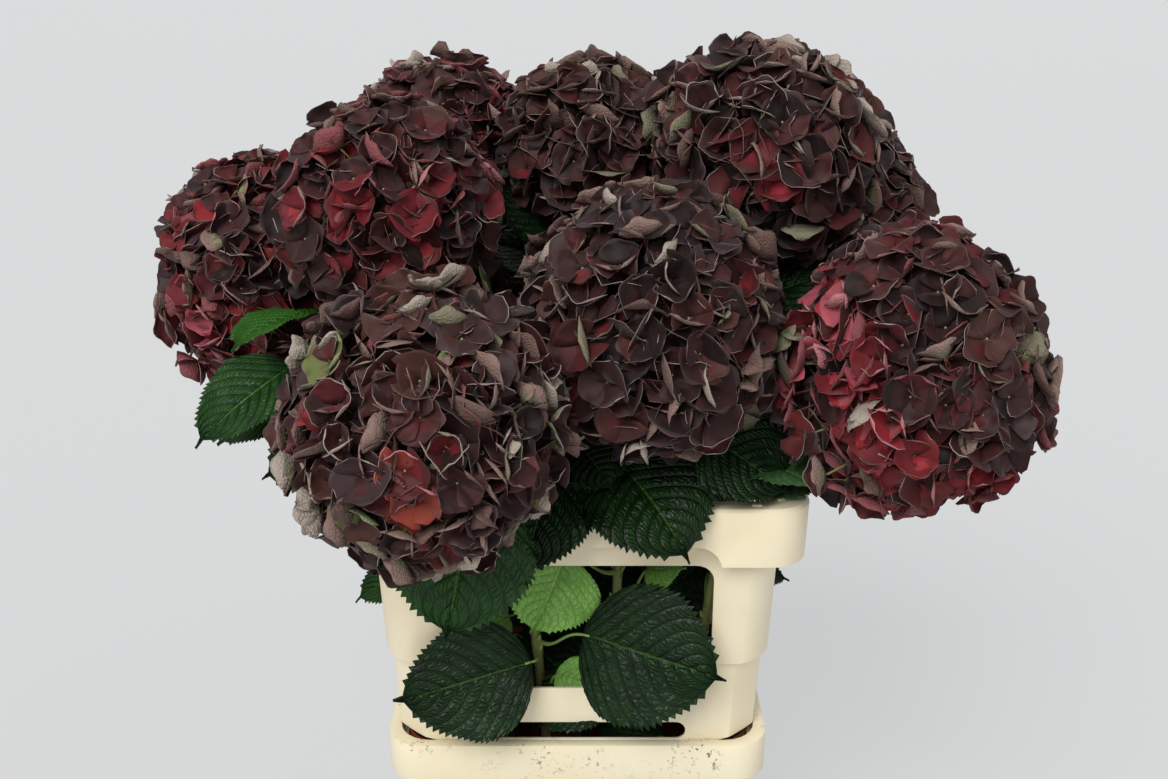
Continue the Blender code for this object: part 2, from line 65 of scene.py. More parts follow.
class Finish:
    """A material with a plain colour, and short ways to add the nodes that feed its shader."""

    def __init__(self, name, colour, roughness):
        self.look = bpy.data.materials.new(name)
        self.look.use_nodes = True
        self.look.diffuse_color = tone(colour)
        self.tree = self.look.node_tree
        self.place = self.node("TexCoord", {})["Object"]
        self.feed("Base Color", colour)
        self.feed("Roughness", roughness)

    def give(self, socket, value):
        """Sets a socket to a number or a colour's code, or links it to another node's output."""
        if isinstance(value, bpy.types.NodeSocket):
            self.tree.links.new(value, socket)
        else:
            socket.default_value = tone(value) if isinstance(value, str) else value

    def feed(self, name, value):
        self.give(self.tree.nodes["Principled BSDF"].inputs[name], value)

    def node(self, kind, inputs, **settings):
        made = self.tree.nodes.new("ShaderNode" + kind)
        for key, value in settings.items():
            setattr(made, key, value)
        for key, value in inputs.items():
            self.give(made.inputs[key], value)
        return made.outputs

    def noise(self, scale, detail=3.0, rough=0.55, stretch=None):
        """A noise pattern on the piece's own coordinates, drawn out along an axis by stretch."""
        place = self.place
        if stretch:
            place = self.node("Mapping", {"Vector": place, "Scale": stretch})["Vector"]
        inputs = {"Vector": place, "Scale": scale, "Detail": detail, "Roughness": rough}
        return self.node("TexNoise", inputs)["Fac"]

    def cells(self, scale):
        """How far each point lies from the edges of a net of cells."""
        inputs = {"Vector": self.place, "Scale": scale}
        return self.node("TexVoronoi", inputs, feature="DISTANCE_TO_EDGE")["Distance"]

    def height(self):
        return self.node("SeparateXYZ", {0: self.place})["Z"]

    def between(self, value, low, high, to_low=0.0, to_high=1.0):
        """Spreads value's range from low to high over a new range."""
        inputs = {"Value": value, "From Min": low, "From Max": high, "To Min": to_low, "To Max": to_high}
        return self.node("MapRange", inputs)["Result"]

    def work(self, how, first, second=0.0):
        return self.node("Math", {0: first, 1: second}, operation=how)["Value"]

    def plus(self, first, second):
        return self.work("ADD", first, second)

    def times(self, first, second):
        return self.work("MULTIPLY", first, second)

    def blend(self, share, first, second):
        """Mixes two colours, each a code or a socket, by share."""
        return self.node("Mix", {0: share, 6: first, 7: second}, data_type="RGBA")[2]

    def relief(self, height, strength, distance):
        inputs = {"Height": height, "Strength": strength, "Distance": distance}
        self.feed("Normal", self.node("Bump", inputs)["Normal"])


def moulded_plastic(name, colour, shade, grime, worn_z, worn_reach):
    """Used moulded plastic: faint clouds, fine scratches, and black specks near the height worn_z."""
    coat = Finish(name, colour, 0.42)
    clouds = coat.between(coat.noise(7.0, 4.0), 0.35, 0.72)
    paint = coat.blend(clouds, colour, shade)
    scuffs = coat.noise(16.0, 5.0, 0.7, (1.0, 1.0, 0.25))
    scuffs = coat.between(scuffs, 0.60, 0.78, 0.0, 0.30)
    paint = coat.blend(scuffs, paint, "#B9AE98")
    away = coat.work("SUBTRACT", coat.height(), worn_z)
    near = coat.between(coat.work("ABSOLUTE", away), 0.0, worn_reach, 1.0, 0.0)
    patches = coat.between(coat.noise(19.0, 3.0), 0.46, 0.62)
    specks = coat.between(coat.noise(230.0, 4.0, 0.7), 0.585, 0.63)
    grimy = coat.times(coat.times(near, patches), specks)
    paint = coat.blend(grimy, paint, grime)
    coat.feed("Base Color", paint)
    gloss = coat.noise(45.0, 4.0, 0.65, (1.0, 1.0, 0.3))
    coat.feed("Roughness", coat.between(gloss, 0.3, 0.7, 0.34, 0.55))
    coat.relief(coat.noise(240.0, 2.0), 0.10, 0.0004)
    return coat.look


def pick_only(piece):
    """Selects one piece and nothing else, and makes it the active one."""
    bpy.ops.object.select_all(action="DESELECT")
    piece.select_set(True)
    bpy.context.view_layer.objects.active = piece


def rounded_sheet(name, half_x, half_y, z, corner):
    """Adds a flat rectangle with round corners, and leaves its face selected in edit mode."""
    bpy.ops.object.select_all(action="DESELECT")
    bpy.ops.mesh.primitive_plane_add(size=2, location=(0, 0, z))
    piece = bpy.context.object
    piece.name = name
    piece.scale = (half_x, half_y, 1)
    bpy.ops.object.transform_apply(location=True, rotation=False, scale=True)
    bpy.ops.object.mode_set(mode="EDIT")
    bpy.ops.mesh.select_mode(type="VERT")
    bpy.ops.mesh.select_all(action="SELECT")
    bpy.ops.mesh.bevel(offset=corner, affect="VERTICES", segments=6)
    bpy.ops.mesh.select_mode(type="FACE")
    bpy.ops.mesh.select_all(action="SELECT")
    return piece


def draw_through(levels):
    """Draws the selected face through levels, each a half width, a half depth and a height."""
    for before, after in zip(levels, levels[1:]):
        rise = {"value": (0, 0, after[2] - before[2])}
        bpy.ops.mesh.extrude_region_move(TRANSFORM_OT_translate=rise)
        grow = (after[0] / before[0], after[1] / before[1], 1)
        bpy.ops.transform.resize(value=grow, center_override=(0, 0, after[2]))


def finish_moulding(piece, look, edge):
    """Faces out, edges softened by the mould's small radius, and smooth shading between edges."""
    sharp = math.radians(35)
    bpy.ops.object.mode_set(mode="EDIT")
    bpy.ops.mesh.select_all(action="SELECT")
    bpy.ops.mesh.normals_make_consistent(inside=False)
    bpy.ops.object.mode_set(mode="OBJECT")
    pick_only(piece)
    soften = piece.modifiers.new("mould radius", "BEVEL")
    soften.width = edge
    soften.segments = 2
    soften.limit_method = "ANGLE"
    soften.angle_limit = sharp
    bpy.ops.object.modifier_apply(modifier=soften.name)
    bpy.ops.object.shade_smooth_by_angle(angle=sharp)
    piece.data.materials.clear()
    piece.data.materials.append(look)
    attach(piece, "root")


bucket_look = moulded_plastic("bucket_cream", "#E4DABD", "#DBCEAC", "#352C20", 0.243, 0.034)
bucket = rounded_sheet("flower_bucket", *BUCKET_LEVELS[0], 0.026)
draw_through(BUCKET_LEVELS)
finish_moulding(bucket, bucket_look, 0.0011)
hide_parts("bucket")

# Liner
# A thin red-brown bucket that stands inside the cream one and holds the water. It is moulded in
# recycled plastic, dull, with a chalky bloom where water has dried on its walls.
LINER_LEVELS = (
    (0.1445, 0.1025, 0.0043), (0.1558, 0.1118, 0.244), (0.1538, 0.1098, 0.244), (0.1425, 0.1005, 0.0063),
)
# The red-brown is kept darker than the plastic is in light. It is partly the liner's own colour and partly
# painted shade for the bucket's dim inside.
coat = Finish("liner_red_brown", "#6E2B15", 0.62)
bloom = coat.between(coat.noise(18.0, 5.0, 0.7, (1.0, 1.0, 0.4)), 0.42, 0.75)
coat.feed("Base Color", coat.blend(bloom, "#66260F", "#87482E"))
coat.relief(coat.noise(160.0), 0.15, 0.0005)
liner = rounded_sheet("water_liner", *LINER_LEVELS[0], 0.0245)
draw_through(LINER_LEVELS)
finish_moulding(liner, coat.look, 0.0006)
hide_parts("liner")

# Collar
# A flared sleeve that stands in the bucket's mouth and keeps the stems upright. It is moulded in the
# same cream plastic, with chamfered corners below that grow round towards its top, a skirt turned
# down outside, a window in each side, and a slot over the bucket's rim at the front and back.

# Levels of the wall: half width, half depth, height, corner, and how full the corner's curve is.
COLLAR_LEVELS = (
    (0.1605, 0.1165, 0.2368, 0.024, 0.29), (0.1655, 0.1210, 0.3300, 0.026, 0.29),
    (0.1705, 0.1260, 0.3320, 0.028, 0.37), (0.1780, 0.1330, 0.4870, 0.030, 0.50),
    (0.1940, 0.1470, 0.4868, 0.030, 0.50), (0.1925, 0.1455, 0.4372, 0.030, 0.50),
    (0.1955, 0.1485, 0.4370, 0.033, 0.50), (0.1970, 0.1500, 0.4870, 0.033, 0.50),
    (0.1940, 0.1470, 0.4899, 0.030, 0.50), (0.1752, 0.1302, 0.4900, 0.027, 0.50),
    (0.1677, 0.1232, 0.3330, 0.026, 0.37), (0.1627, 0.1182, 0.3290, 0.024, 0.29),
    (0.1577, 0.1137, 0.2369, 0.022, 0.29),
)
# Openings: half width, bottom, top and corner. Raised parts of the skirt: half width, how far out, axis.
FRONT_WINDOW = (0.1175, 0.304, 0.430, 0.015)
SIDE_WINDOW = (0.066, 0.304, 0.430, 0.015)
FOOT_SLOT = (0.0975, 0.250, 0.268, 0.009)
SKIRT_RAISED = ((0.122, 0.188, "Y"), (0.074, 0.233, "X"))
SKIRT_LOW, SKIRT_HIGH, SKIRT_CORNER = 0.427, 0.456, 0.022
CORNER_CUT_HALF, CORNER_CUT_INNER, CORNER_CUT_OUTER = 0.035, 0.007, 0.037
RIM_TOP = 0.4905
RIM_NUBS = [(side_x * x, side_y * y) for side_y in (-1, 1) for side_x in (1, -1)
            for x, y in ((0.150, 0.140), (0.172, 0.127))]
NUB_HALF = (0.0042, 0.0018, 0.0012)


def corner_key(point):
    return tuple(round(c, 5) for c in point)


def add_outline(half_x, half_y, z, corner, profile):
    """Adds an edge loop, a rectangle with shaped corners, to the mesh in edit mode."""
    bpy.ops.mesh.select_all(action="DESELECT")
    bpy.ops.mesh.primitive_plane_add(size=2, location=(0, 0, z))
    bpy.ops.transform.resize(value=(half_x, half_y, 1), center_override=(0, 0, z))
    bpy.ops.mesh.bevel(offset=corner, affect="VERTICES", segments=7, profile=profile)
    shape = bmesh.from_edit_mesh(bpy.context.object.data)
    keys = {corner_key(v.co) for v in shape.verts if v.select}
    bpy.ops.mesh.delete(type="ONLY_FACE")
    return keys


def bridge(first, second):
    """Joins two edge loops, picked by where their points are."""
    shape = bmesh.from_edit_mesh(bpy.context.object.data)
    for v in shape.verts:
        v.select = corner_key(v.co) in first or corner_key(v.co) in second
    shape.select_flush_mode()
    bmesh.update_edit_mesh(bpy.context.object.data)
    bpy.ops.mesh.bridge_edge_loops()


def cut_away(piece, cutter):
    """Takes a cutter's shape out of a piece, and the cutter out of the scene."""
    bpy.ops.object.mode_set(mode="OBJECT")
    pick_only(piece)
    cut = piece.modifiers.new("opening", "BOOLEAN")
    cut.object = cutter
    cut.operation = "DIFFERENCE"
    bpy.ops.object.modifier_apply(modifier=cut.name)
    bpy.data.objects.remove(cutter)


def block(half, middle):
    """Adds a block and leaves it in edit mode with nothing selected."""
    bpy.ops.object.select_all(action="DESELECT")
    bpy.ops.mesh.primitive_cube_add(size=2, location=middle)
    made = bpy.context.object
    made.scale = half
    bpy.ops.object.transform_apply(location=True, rotation=False, scale=True)
    bpy.ops.object.mode_set(mode="EDIT")
    bpy.ops.mesh.select_mode(type="EDGE")
    bpy.ops.mesh.select_all(action="DESELECT")
    return made


def select_edges(wanted):
    """Selects the edges whose two ends meet a test."""
    shape = bmesh.from_edit_mesh(bpy.context.object.data)
    for edge in shape.edges:
        edge.select = wanted(edge.verts[0].co, edge.verts[1].co)
    bmesh.update_edit_mesh(bpy.context.object.data)


def laid_out(axis, across, along, up):
    """Three measures in the order of the axes, for a wall that faces along one of them."""
    return (across, along, up) if axis == "Y" else (along, across, up)


def window_block(half, low, high, radius, axis):
    """A cutter for an upright opening with round corners, drawn through along an axis."""
    made = block(laid_out(axis, half, 0.25, (high - low) / 2), (0, 0, (low + high) / 2))
    along = "XY".index(axis)
    select_edges(lambda a, b: abs(a[along] - b[along]) > 0.1)
    bpy.ops.mesh.bevel(offset=radius, segments=6)
    return made


bpy.ops.object.select_all(action="DESELECT")
bpy.ops.mesh.primitive_plane_add(size=0.01, location=(0, 0, 0))
collar = bpy.context.object
collar.name = "windowed_collar"
bpy.ops.object.mode_set(mode="EDIT")
bpy.ops.mesh.select_mode(type="VERT")
bpy.ops.mesh.select_all(action="SELECT")
bpy.ops.mesh.delete(type="VERT")
loops = [add_outline(*level) for level in COLLAR_LEVELS]
for first, second in zip(loops, loops[1:] + loops[:1]):
    bridge(first, second)
bpy.ops.mesh.select_all(action="SELECT")
bpy.ops.mesh.normals_make_consistent(inside=False)
bpy.ops.object.mode_set(mode="OBJECT")
cut_away(collar, window_block(*FRONT_WINDOW, "Y"))
cut_away(collar, window_block(*SIDE_WINDOW, "X"))
cut_away(collar, window_block(*FOOT_SLOT, "Y"))
for half, away, axis in SKIRT_RAISED:
    for side in (-1, 1):
        raised = block(laid_out(axis, half, 0.05, (SKIRT_HIGH - SKIRT_LOW) / 2),
                       laid_out(axis, 0, side * away, (SKIRT_LOW + SKIRT_HIGH) / 2))
        across = "YX".index(axis)
        select_edges(lambda a, b: min(a.z, b.z) > 0.45 and abs(a[across] - b[across]) < 1e-6)
        bpy.ops.mesh.bevel(offset=SKIRT_CORNER, segments=5)
        cut_away(collar, raised)
foot_x, foot_y, foot_z = COLLAR_LEVELS[0][:3]
for sign_x in (-1, 1):
    for sign_y in (-1, 1):
        foot = block((CORNER_CUT_HALF, CORNER_CUT_HALF, 0.02), (0, 0, 0))
        shape = bmesh.from_edit_mesh(foot.data)
        for v in shape.verts:
            if v.co.z > 0:
                v.co.z = CORNER_CUT_INNER if v.co.x < 0 else CORNER_CUT_OUTER
        bmesh.update_edit_mesh(foot.data)
        bpy.ops.object.mode_set(mode="OBJECT")
        foot.rotation_euler = (0, 0, math.atan2(sign_y, sign_x))
        foot.location = (sign_x * foot_x, sign_y * foot_y, foot_z)
        bpy.ops.object.transform_apply(location=True, rotation=True, scale=False)
        cut_away(collar, foot)
for x, y in RIM_NUBS:
    nub = block(NUB_HALF, (0, 0, 0))
    select_edges(lambda a, b: a.z > 0 and b.z > 0 or abs(a.z - b.z) > 0.001)
    bpy.ops.mesh.bevel(offset=0.0010, segments=3)
    bpy.ops.object.mode_set(mode="OBJECT")
    nub.rotation_euler = (0, 0, math.copysign(0.6, -x * y) if abs(x) > 0.16 else 0.0)
    nub.location = (x, y, RIM_TOP)
    pick_only(nub)
    bpy.ops.object.transform_apply(location=True, rotation=True, scale=True)
    collar.select_set(True)
    bpy.context.view_layer.objects.active = collar
    bpy.ops.object.join()
collar_look = moulded_plastic("collar_cream", "#ECE1C4", "#E2D4B1", "#4A4234", 0.2400, 0.020)
finish_moulding(collar, collar_look, 0.0009)
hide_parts("collar")

# Stems
# Cut woody stems, green above and brown towards the foot, with rough brown pores and a swollen joint
# wherever a leaf stalk leaves. They stand on the liner's floor, cut square, with a pale pith.
Head = namedtuple("Head", "name centre radius stretch foot collar")
ROUND = (1.0, 1.0, 1.0)
HEADS = (
    Head("front_left", (-0.114, -0.215, 0.593), 0.113, (1.0, 1.0, 1.03), (-0.014, -0.080), (-0.050, -0.103)),
    Head("centre", (0.061, -0.112, 0.641), 0.119, ROUND, (0.030, -0.060), (0.038, -0.085)),
    Head("right", (0.280, -0.142, 0.614), 0.118, (0.94, 0.94, 1.08), (0.095, -0.060), (0.135, -0.085)),
    Head("top_right", (0.168, 0.010, 0.762), 0.105, ROUND, (0.055, -0.010), (0.078, -0.010)),
    Head("back_right", (0.255, 0.125, 0.697), 0.096, ROUND, (0.095, 0.040), (0.128, 0.050)),
    Head("top_middle", (0.007, 0.085, 0.757), 0.086, ROUND, (0.000, 0.030), (0.002, 0.040)),
    Head("top_left", (-0.127, 0.125, 0.762), 0.083, ROUND, (-0.040, 0.040), (-0.056, 0.052)),
    Head("middle_left", (-0.165, -0.021, 0.718), 0.107, ROUND, (-0.060, -0.020), (-0.085, -0.020)),
    Head("far_left", (-0.297, 0.065, 0.648), 0.108, ROUND, (-0.110, 0.010), (-0.145, 0.015)),
    Head("back_middle", (0.002, 0.198, 0.625), 0.097, ROUND, (0.010, 0.075), (0.008, 0.100)),
    Head("back_low", (0.156, 0.200, 0.590), 0.092, ROUND, (0.060, 0.070), (0.090, 0.096)),
    Head("back_left", (-0.160, 0.185, 0.610), 0.098, ROUND, (-0.080, 0.060), (-0.105, 0.085)),
)
Leaf = namedtuple("Leaf", "name head height base tip face width arch looks")
LEAVES = (
    Leaf("window_right", "front_left", 0.336, (0.005, -0.137, 0.368), (0.130, -0.156, 0.334),
         (0.05, -1.0, 0.15), 0.128, 0.006, "deep"),
    Leaf("window_left", "front_left", 0.326, (-0.040, -0.129, 0.336), (-0.161, -0.150, 0.308),
         (-0.05, -1.0, 0.25), 0.105, 0.006, "deep"),
    Leaf("window_middle", "centre", 0.400, (-0.010, -0.112, 0.430), (-0.040, -0.122, 0.358),
         (0.1, -0.9, 0.3), 0.085, 0.003, "turned"),
    Leaf("window_upper", "centre", 0.370, (0.062, -0.086, 0.405), (0.094, -0.112, 0.418),
         (0.1, -0.7, 0.6), 0.045, 0.002, "turned"),
    Leaf("window_low", "front_left", 0.284, (-0.020, -0.099, 0.306), (0.028, -0.102, 0.290),
         (0.1, -0.9, 0.3), 0.045, 0.002, "turned"),
    Leaf("window_small", "middle_left", 0.330, (-0.062, -0.075, 0.352), (-0.104, -0.098, 0.345),
         (0.0, -0.7, 0.7), 0.045, 0.002, "turned"),
    Leaf("slot", "right", 0.215, (0.082, -0.091, 0.234), (0.012, -0.094, 0.247),
         (0.0, -0.6, 0.7), 0.030, 0.002, "deep"),
    # rim_left takes the lighter green look as painted light: it lies in the front head's shadow, and the
    # lighter green stands in for light on its ridges.
    Leaf("rim_left", "front_left", 0.500, (-0.084, -0.162, 0.512), (-0.108, -0.184, 0.387),
         (-0.05, -1.0, 0.35), 0.122, 0.006, "green"),
    Leaf("rim_middle", "front_left", 0.490, (-0.018, -0.128, 0.522), (-0.045, -0.178, 0.442),
         (0.0, -0.8, 0.6), 0.090, 0.012, "deep"),
    Leaf("rim_right", "centre", 0.490, (0.036, -0.118, 0.520), (0.092, -0.178, 0.455),
         (0.1, -0.7, 0.8), 0.118, 0.016, "deep"),
    Leaf("under_centre", "centre", 0.506, (0.000, -0.118, 0.540), (0.030, -0.160, 0.512),
         (-0.1, -0.7, 0.8), 0.080, 0.006, "deep"),
    Leaf("under_right", "right", 0.510, (0.100, -0.122, 0.552), (0.178, -0.140, 0.500),
         (0.1, -0.8, 0.7), 0.085, 0.006, "deep"),
    Leaf("rim_corner", "right", 0.475, (0.140, -0.062, 0.500), (0.226, -0.058, 0.502),
         (0.1, -0.3, 0.9), 0.062, 0.010, "young"),
    Leaf("left_upper", "far_left", 0.565, (-0.236, -0.030, 0.628), (-0.284, -0.112, 0.618),
         (-0.3, -0.3, 1.0), 0.060, 0.006, "young"),
    Leaf("left_middle", "far_left", 0.535, (-0.250, -0.040, 0.582), (-0.325, -0.102, 0.527),
         (-0.3, -0.7, 0.7), 0.080, 0.008, "green"),
    Leaf("left_lower", "far_left", 0.515, (-0.245, 0.000, 0.544), (-0.328, -0.030, 0.502),
         (-0.3, -0.6, 0.8), 0.070, 0.006, "green"),
    Leaf("left_behind", "middle_left", 0.500, (-0.175, -0.085, 0.535), (-0.272, -0.102, 0.500),
         (-0.2, -0.9, 0.5), 0.085, 0.006, "deep"),
    Leaf("side_left", "far_left", 0.350, (-0.128, -0.018, 0.382), (-0.212, -0.030, 0.345),
         (-0.2, -0.6, 0.8), 0.060, 0.004, "green"),
    Leaf("side_right", "right", 0.350, (0.128, -0.030, 0.380), (0.200, -0.030, 0.366),
         (0.1, -0.3, 1.0), 0.048, 0.003, "deep"),
    Leaf("back_window_left", "back_left", 0.345, (-0.040, 0.139, 0.362), (-0.150, 0.156, 0.322),
         (-0.05, 1.0, 0.15), 0.110, 0.006, "deep"),
    Leaf("back_window_right", "back_low", 0.335, (0.050, 0.139, 0.356), (0.148, 0.156, 0.318),
         (0.05, 1.0, 0.15), 0.105, 0.006, "green"),
    Leaf("back_rim_left", "back_left", 0.490, (-0.112, 0.130, 0.518), (-0.135, 0.190, 0.446),
         (-0.1, 0.8, 0.7), 0.105, 0.014, "deep"),
    Leaf("back_rim_middle", "back_low", 0.480, (0.052, 0.136, 0.512), (0.046, 0.192, 0.436),
         (0.05, 0.8, 0.7), 0.110, 0.014, "deep"),
    Leaf("back_corner", "back_right", 0.500, (0.158, 0.105, 0.530), (0.240, 0.150, 0.500),
         (0.3, 0.4, 0.9), 0.095, 0.008, "green"),
    Leaf("right_behind", "back_right", 0.485, (0.170, 0.030, 0.524), (0.262, 0.020, 0.494),
         (0.4, -0.1, 0.9), 0.090, 0.008, "deep"),
)
HEAD_OF = {head.name: head for head in HEADS}
UP = Vector((0, 0, 1))
STEM_FOOT_Z, STEM_PASS_Z = 0.0069, 0.47
STEM_BASE_RADIUS, STEM_TIP_RADIUS = 0.0046, 0.0034
STEM_SIDES, STEM_STEPS = 14, 110
BARE_JOINTS = (0.10, 0.20, 0.31, 0.42)
STEM_PULL, STUB_SHARE = 0.35, 0.86


def reach_of(head, point):
    """How far out a point lies in a head: 0 at its centre and 1 at its outside."""
    away = Vector(point) - Vector(head.centre)
    return math.sqrt(sum((a / (head.radius * s)) ** 2 for a, s in zip(away, head.stretch)))


def entry_of(head):
    """The unit vector from a head's centre to where its stem comes in, from below and inside."""
    away = (Vector((*head.collar, STEM_PASS_Z)) - Vector(head.centre)).normalized()
    return (away + 0.12 * UP).normalized()


def bezier(keys, t):
    a, b, c, d = keys
    return (1 - t) ** 3 * a + 3 * t * (1 - t) ** 2 * b + 3 * t * t * (1 - t) * c + t ** 3 * d


def stem_path(head, steps):
    """Points from the stem's cut foot to just outside its head, on one smooth curve."""
    foot = Vector((*head.foot, STEM_FOOT_Z))
    rim = Vector((*head.collar, STEM_PASS_Z))
    entry = entry_of(head)
    tip = Vector(head.centre) + STUB_SHARE * head.radius * entry
    rise = (tip - foot).normalized()
    lower = [foot, foot.lerp(rim, STEM_PULL), rim - STEM_PULL * (rim - foot).length * rise, rim]
    span = (tip - rim).length
    upper = [rim, rim + STEM_PULL * span * rise, tip + STEM_PULL * span * entry, tip]
    half = steps // 2
    path = [bezier(lower, i / half) for i in range(half + 1)]
    return path + [bezier(upper, i / half) for i in range(1, half + 1)]


def frames_along(path):
    """Each point of a path with two axes across it, which turn with the path."""
    frames, across = [], Vector((1, 0, 0))
    for i, point in enumerate(path):
        along = (path[min(i + 1, len(path) - 1)] - path[max(i - 1, 0)]).normalized()
        across = (across - across.dot(along) * along).normalized()
        frames.append((point, across, along.cross(across)))
    return frames


class Skin:
    """Points, faces and the slot of each face, gathered for one piece."""

    def __init__(self):
        self.points, self.faces, self.slots = [], [], []

    def add(self, points, faces, slots):
        start = len(self.points)
        self.points += [tuple(p) for p in points]
        self.faces += [tuple(start + i for i in face) for face in faces]
        self.slots += slots

    def limb(self, path, radii, sides, slot=0, bump=None):
        """A round limb along a path, closed at both ends. bump(ring, side) swells its radius."""
        start, rings = len(self.points), len(path)
        for ring, ((point, across, up), radius) in enumerate(zip(frames_along(path), radii)):
            for side in range(sides):
                angle = 2 * math.pi * side / sides
                out = radius * (1 + (bump(ring, side) if bump else 0.0))
                self.points.append(tuple(point + out * (math.cos(angle) * across + math.sin(angle) * up)))
        for ring in range(rings - 1):
            for side in range(sides):
                low, after = start + ring * sides, (side + 1) % sides
                self.faces.append((low + side, low + after, low + sides + after, low + sides + side))
        self.faces.append(tuple(range(start + sides - 1, start - 1, -1)))
        self.faces.append(tuple(range(start + (rings - 1) * sides, start + rings * sides)))
        self.slots += [slot] * ((rings - 1) * sides + 2)

    def curve(self, keys, radii, sides, slot=0):
        """A round limb along a curve, with a ring for each of its radii."""
        last = len(radii) - 1
        self.limb([bezier(keys, ring / last) for ring in range(last + 1)], radii, sides, slot)

    def piece(self, name, looks, smooth):
        """Makes the gathered shape an object that rides on the one body, smooth below an angle."""
        mesh = bpy.data.meshes.new(name)
        mesh.from_pydata(self.points, [], self.faces)
        for look in looks:
            mesh.materials.append(look)
        mesh.polygons.foreach_set("material_index", self.slots)
        mesh.validate()
        made = bpy.data.objects.new(name, mesh)
        bpy.context.scene.collection.objects.link(made)
        pick_only(made)
        bpy.ops.object.shade_smooth_by_angle(angle=math.radians(smooth))
        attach(made, "root")
        return made


coat = Finish("stem_bark", "#6A7A3A", 0.55)
ragged_height = coat.plus(coat.height(), coat.times(coat.noise(12.0), 0.16))
woody = coat.between(ragged_height, 0.30, 0.52, 1.0, 0.0)
streaks = coat.between(coat.noise(60.0, 4.0, 0.6, (1.0, 1.0, 0.12)), 0.35, 0.7)
green = coat.blend(streaks, "#5F7436", "#8C9C56")
brown = coat.blend(streaks, "#5A4A2E", "#84713F")
bark = coat.blend(woody, green, brown)
pores = coat.between(coat.noise(420.0, 2.0, 0.5, (1.0, 1.0, 0.45)), 0.60, 0.68)
coat.feed("Base Color", coat.blend(coat.times(pores, 0.75), bark, "#4E3A22"))
coat.relief(coat.plus(streaks, coat.times(pores, 0.8)), 0.5, 0.0006)
stem_look = coat.look


def grained(name, colour, shade, roughness, scale):
    """A surface with cloudy tone and a fine grain."""
    coat = Finish(name, colour, roughness)
    grain = coat.noise(scale, 4.0, 0.65)
    coat.feed("Base Color", coat.blend(grain, colour, shade))
    coat.relief(grain, 0.35, 0.0004)
    return coat.look


pith_look = grained("stem_pith", "#D3CDAC", "#B4AC86", 0.8, 500.0)
bud_look = grained("stem_bud", "#76883C", "#8F9C52", 0.5, 260.0)


def stem_radius(step, steps):
    return STEM_BASE_RADIUS + (STEM_TIP_RADIUS - STEM_BASE_RADIUS) * step / steps


def stem_at(head, height):
    """The stem's centre, direction and radius where it passes a height."""
    path = stem_path(head, 80)
    low = max(i for i in range(len(path) - 1) if path[i].z <= height)
    share = (height - path[low].z) / (path[low + 1].z - path[low].z)
    along = (path[low + 1] - path[low]).normalized()
    return path[low].lerp(path[low + 1], share), along, stem_radius(low + share, len(path) - 1)


for head in HEADS:
    rng = random.Random("stem " + head.name)
    path = stem_path(head, STEM_STEPS)
    heights = [leaf.height for leaf in LEAVES if leaf.head == head.name]
    spare = [h for h in BARE_JOINTS if all(abs(h - other) > 0.05 for other in heights)]
    joints = heights + [h + rng.uniform(-0.012, 0.012) for h in spare]
    radii = []
    for i, point in enumerate(path):
        swell = sum(math.exp(-((point.z - h) / 0.0045) ** 2) for h in joints if point.z < 0.6)
        radii.append(stem_radius(i, len(path) - 1) * (1 + 0.20 * min(swell, 1.0)))
    ridges = [rng.uniform(-0.03, 0.03) for _ in range(STEM_SIDES)]
    skin = Skin()
    skin.limb(path, radii, STEM_SIDES, 0,
              lambda ring, side: ridges[side] + 0.02 * math.sin(ring * 0.9 + side * 2.1))
    cut_face = -2
    skin.slots[cut_face] = 1
    for h in joints:
        middle, along, radius = stem_at(head, h)
        across = along.orthogonal().normalized()
        across = Matrix.Rotation(rng.uniform(0, math.pi), 3, along) @ across
        for side in (-1, 1):
            root = middle + side * across * radius * 0.75 + along * 0.001
            lean = (along + side * 0.45 * across).normalized()
            bud = [root + lean * d for d in (0.0, 0.003, 0.006, 0.0085)]
            skin.limb(bud, [0.0016, 0.0023, 0.0016, 0.0003], 7, 2)
    stem = skin.piece("cut_stem_" + head.name, [stem_look, pith_look, bud_look], 50)
    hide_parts("stem_" + head.name)

# Leaves
# Broad, saw-edged leaves on short stalks, drawn out to a thin tip. The blade swells between its sunken
# veins. It is glossy above, from blackish green to bright green on young leaves, and pale and dull
# below. A few more leaves hang inside the collar and between the heads, where little light reaches.

# For each look: the blade's dark and light green (the light green partly a painted highlight on the ridges),
# its veins (darker, partly painted shade in their grooves), and its middle rib.
LEAF_LOOKS = {
    "deep": ("#020F02", "#17370F", "#091C07", "#34561F"),
    "green": ("#102A0D", "#2C5620", "#10240E", "#4F7A32"),
    "young": ("#2C5A1E", "#3F7426", "#2A521C", "#7FA548"),
}
TEETH, TOOTH_OUT, TOOTH_ON = 26, 0.0034, 0.0032
LEAF_ACROSS = (0.0, 0.03, 0.10, 0.20, 0.30, 0.41, 0.52, 0.63, 0.74, 0.84, 0.93, 1.0)
INNER_TEETH, INNER_ACROSS = 16, (0.0, 0.03, 0.12, 0.34, 0.58, 0.82, 1.0)
VEINS, QUILT_RISE, MIDRIB_SINK, EDGE_WAVE = 9.5, 0.0025, 0.0014, 0.0020
USUAL_WIDTH, SKIN_ABOVE, SKIN_BELOW = 0.12, 0.00025, 0.00028
STALK_STEPS, STALK_SIDES = 14, 8


